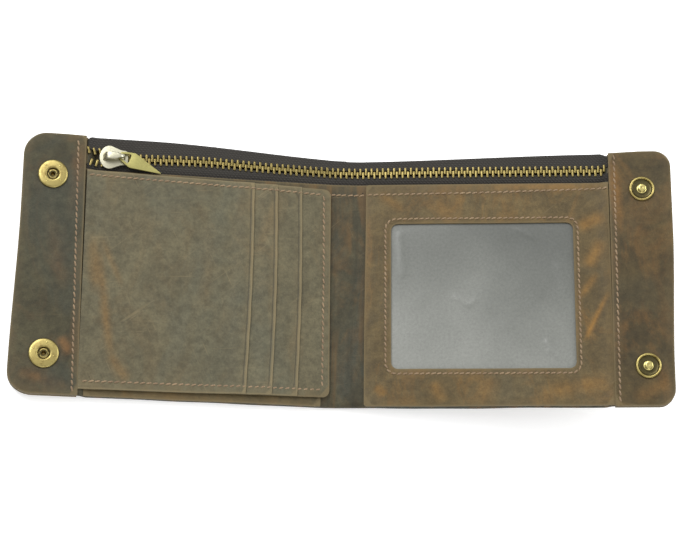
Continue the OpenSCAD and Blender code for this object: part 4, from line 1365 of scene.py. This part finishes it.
# outer face: along the top edge and up each tab
for sgn, nm, body in ((-1, "left", "left_wing"), (1, "right", "right_wing")):
    pts = [(sgn * u, float(shell_top(sgn * u)) - 2.6, 0.2 + float(rise_shell(u))) for u in frange(0.4, 106.5, 0.7)]
    ob = stitches("stitch_back_" + nm, [pts], seed=21 if sgn < 0 else 22)
    dress(ob, M_THREAD, blend=SPINE_L if sgn < 0 else SPINE_R)
    put("stitch_back_tab_" + nm, [straight((sgn * 113.3, -53.8, 3.2), (sgn * 113.3, 53.8, 3.2), 40)], nm + "_tab", 23 if sgn < 0 else 24)

# one open needle hole by the fold, drawn as a flat dark disc: painted shade for the hole's inside
hv, hf = [], []
for i in range(14):
    a = 2 * math.pi * i / 14
    hv.append((6.6 + 0.42 * math.cos(a), 38.6 + 0.42 * math.sin(a), 4.245 + float(sag(6.6, 38.6))))
hf.append(tuple(range(14)))
m_dark, nt_, b_dark = mat("needle_hole")
tcd = node(nt_, "TexCoord").outputs["Object"]
nd = noise(nt_, tcd, 3000, 2)
nt_.links.new(mixc(nt_, nd, (0.006, 0.005, 0.004), (0.02, 0.014, 0.01)), b_dark.inputs["Base Color"])
b_dark.inputs["Roughness"].default_value = 0.9
hole = new_object("needle_hole_mark", rest(hv), hf, np.array(hv), None, 30)
dress(hole, m_dark, body="spine")

# ---------------------------------------------------------------- stage, light, camera
for ob in list(bpy.data.objects):
    if ob.name in frame["nodes"] and not ob.hide_render:
        print("CAD node still shown:", ob.name)

world = bpy.data.worlds.new("studio")
scene.world = world
world.use_nodes = True
bg = world.node_tree.nodes["Background"]
wt = world.node_tree
wc = wt.nodes.new("ShaderNodeTexCoord")
wsep = wt.nodes.new("ShaderNodeSeparateXYZ")
wt.links.new(wc.outputs["Generated"], wsep.inputs[0])
# a white studio with a darker wall low down, so that metal has something to reflect
wt.links.new(ramp(wt, wsep.outputs[2], [(0.0, (0.9, 0.9, 0.9)), (0.06, (0.22, 0.22, 0.23)), (0.42, (0.35, 0.35, 0.36)), (0.62, (1.0, 1.0, 1.0))]), bg.inputs[0])
bg.inputs[1].default_value = 0.8

bpy.ops.mesh.primitive_plane_add(size=6, location=(0.06, 0.0, -0.0001))
floor = bpy.context.object
floor.name = "floor"
m_floor, ntf, bf_ = mat("paper_white_glowing")
tcf = node(ntf, "TexCoord").outputs["Object"]
nf = noise(ntf, tcf, 40, 3)
ntf.links.new(mixc(ntf, nf, (0.90, 0.90, 0.90), (0.93, 0.93, 0.93)), bf_.inputs["Base Color"])
# painted light: the floor glows a little so that shadows on it wash out
bf_.inputs["Emission Color"].default_value = (1, 1, 1, 1)
bf_.inputs["Emission Strength"].default_value = 0.42
bf_.inputs["Roughness"].default_value = 0.9
floor.data.materials.append(m_floor)


def area(name, loc, target, size, power, color=(1, 1, 1)):
    d = bpy.data.lights.new(name, "AREA")
    d.shape = "RECTANGLE"
    d.size, d.size_y = size
    d.energy = power
    d.color = color
    o = bpy.data.objects.new(name, d)
    o.location = loc
    o.rotation_euler = (Vector(target) - Vector(loc)).to_track_quat("-Z", "Y").to_euler()
    scene.collection.objects.link(o)
    return o


area("key_top_left", (-0.55, 0.75, 0.95), (0.05, 0, 0), (0.9, 0.9), 14, (1.0, 1.0, 0.99))
area("fill_right", (0.9, 0.25, 0.75), (0.08, 0, 0), (0.7, 0.7), 5.5, (0.97, 0.99, 1.0))
area("front_low", (0.1, -1.1, 0.7), (0.05, 0, 0), (0.9, 0.5), 3.0)

D = "800"
CAM = {"600": ((-54.706, -183.177, 648.131), (0.280, -0.167, 0.006), 1611.8), "800": ((-74.118, -239.807, 793.501), (0.297, -0.161, 0.007), 1992.2)}[D]
cam = bpy.data.cameras.new("camera")
cam.sensor_width = 36
cam.sensor_fit = "HORIZONTAL"
cam.lens = CAM[2] * 36 / 682
cam.clip_start, cam.clip_end = 0.01, 20
cob = bpy.data.objects.new("camera", cam)
cob.location = [c * MM for c in CAM[0]]
cob.rotation_euler = Euler(CAM[1], "XYZ")
scene.collection.objects.link(cob)
scene.camera = cob
scene.view_settings.view_transform = "Standard"
scene.view_settings.look = "None"
scene.view_settings.exposure = 0.0

import json
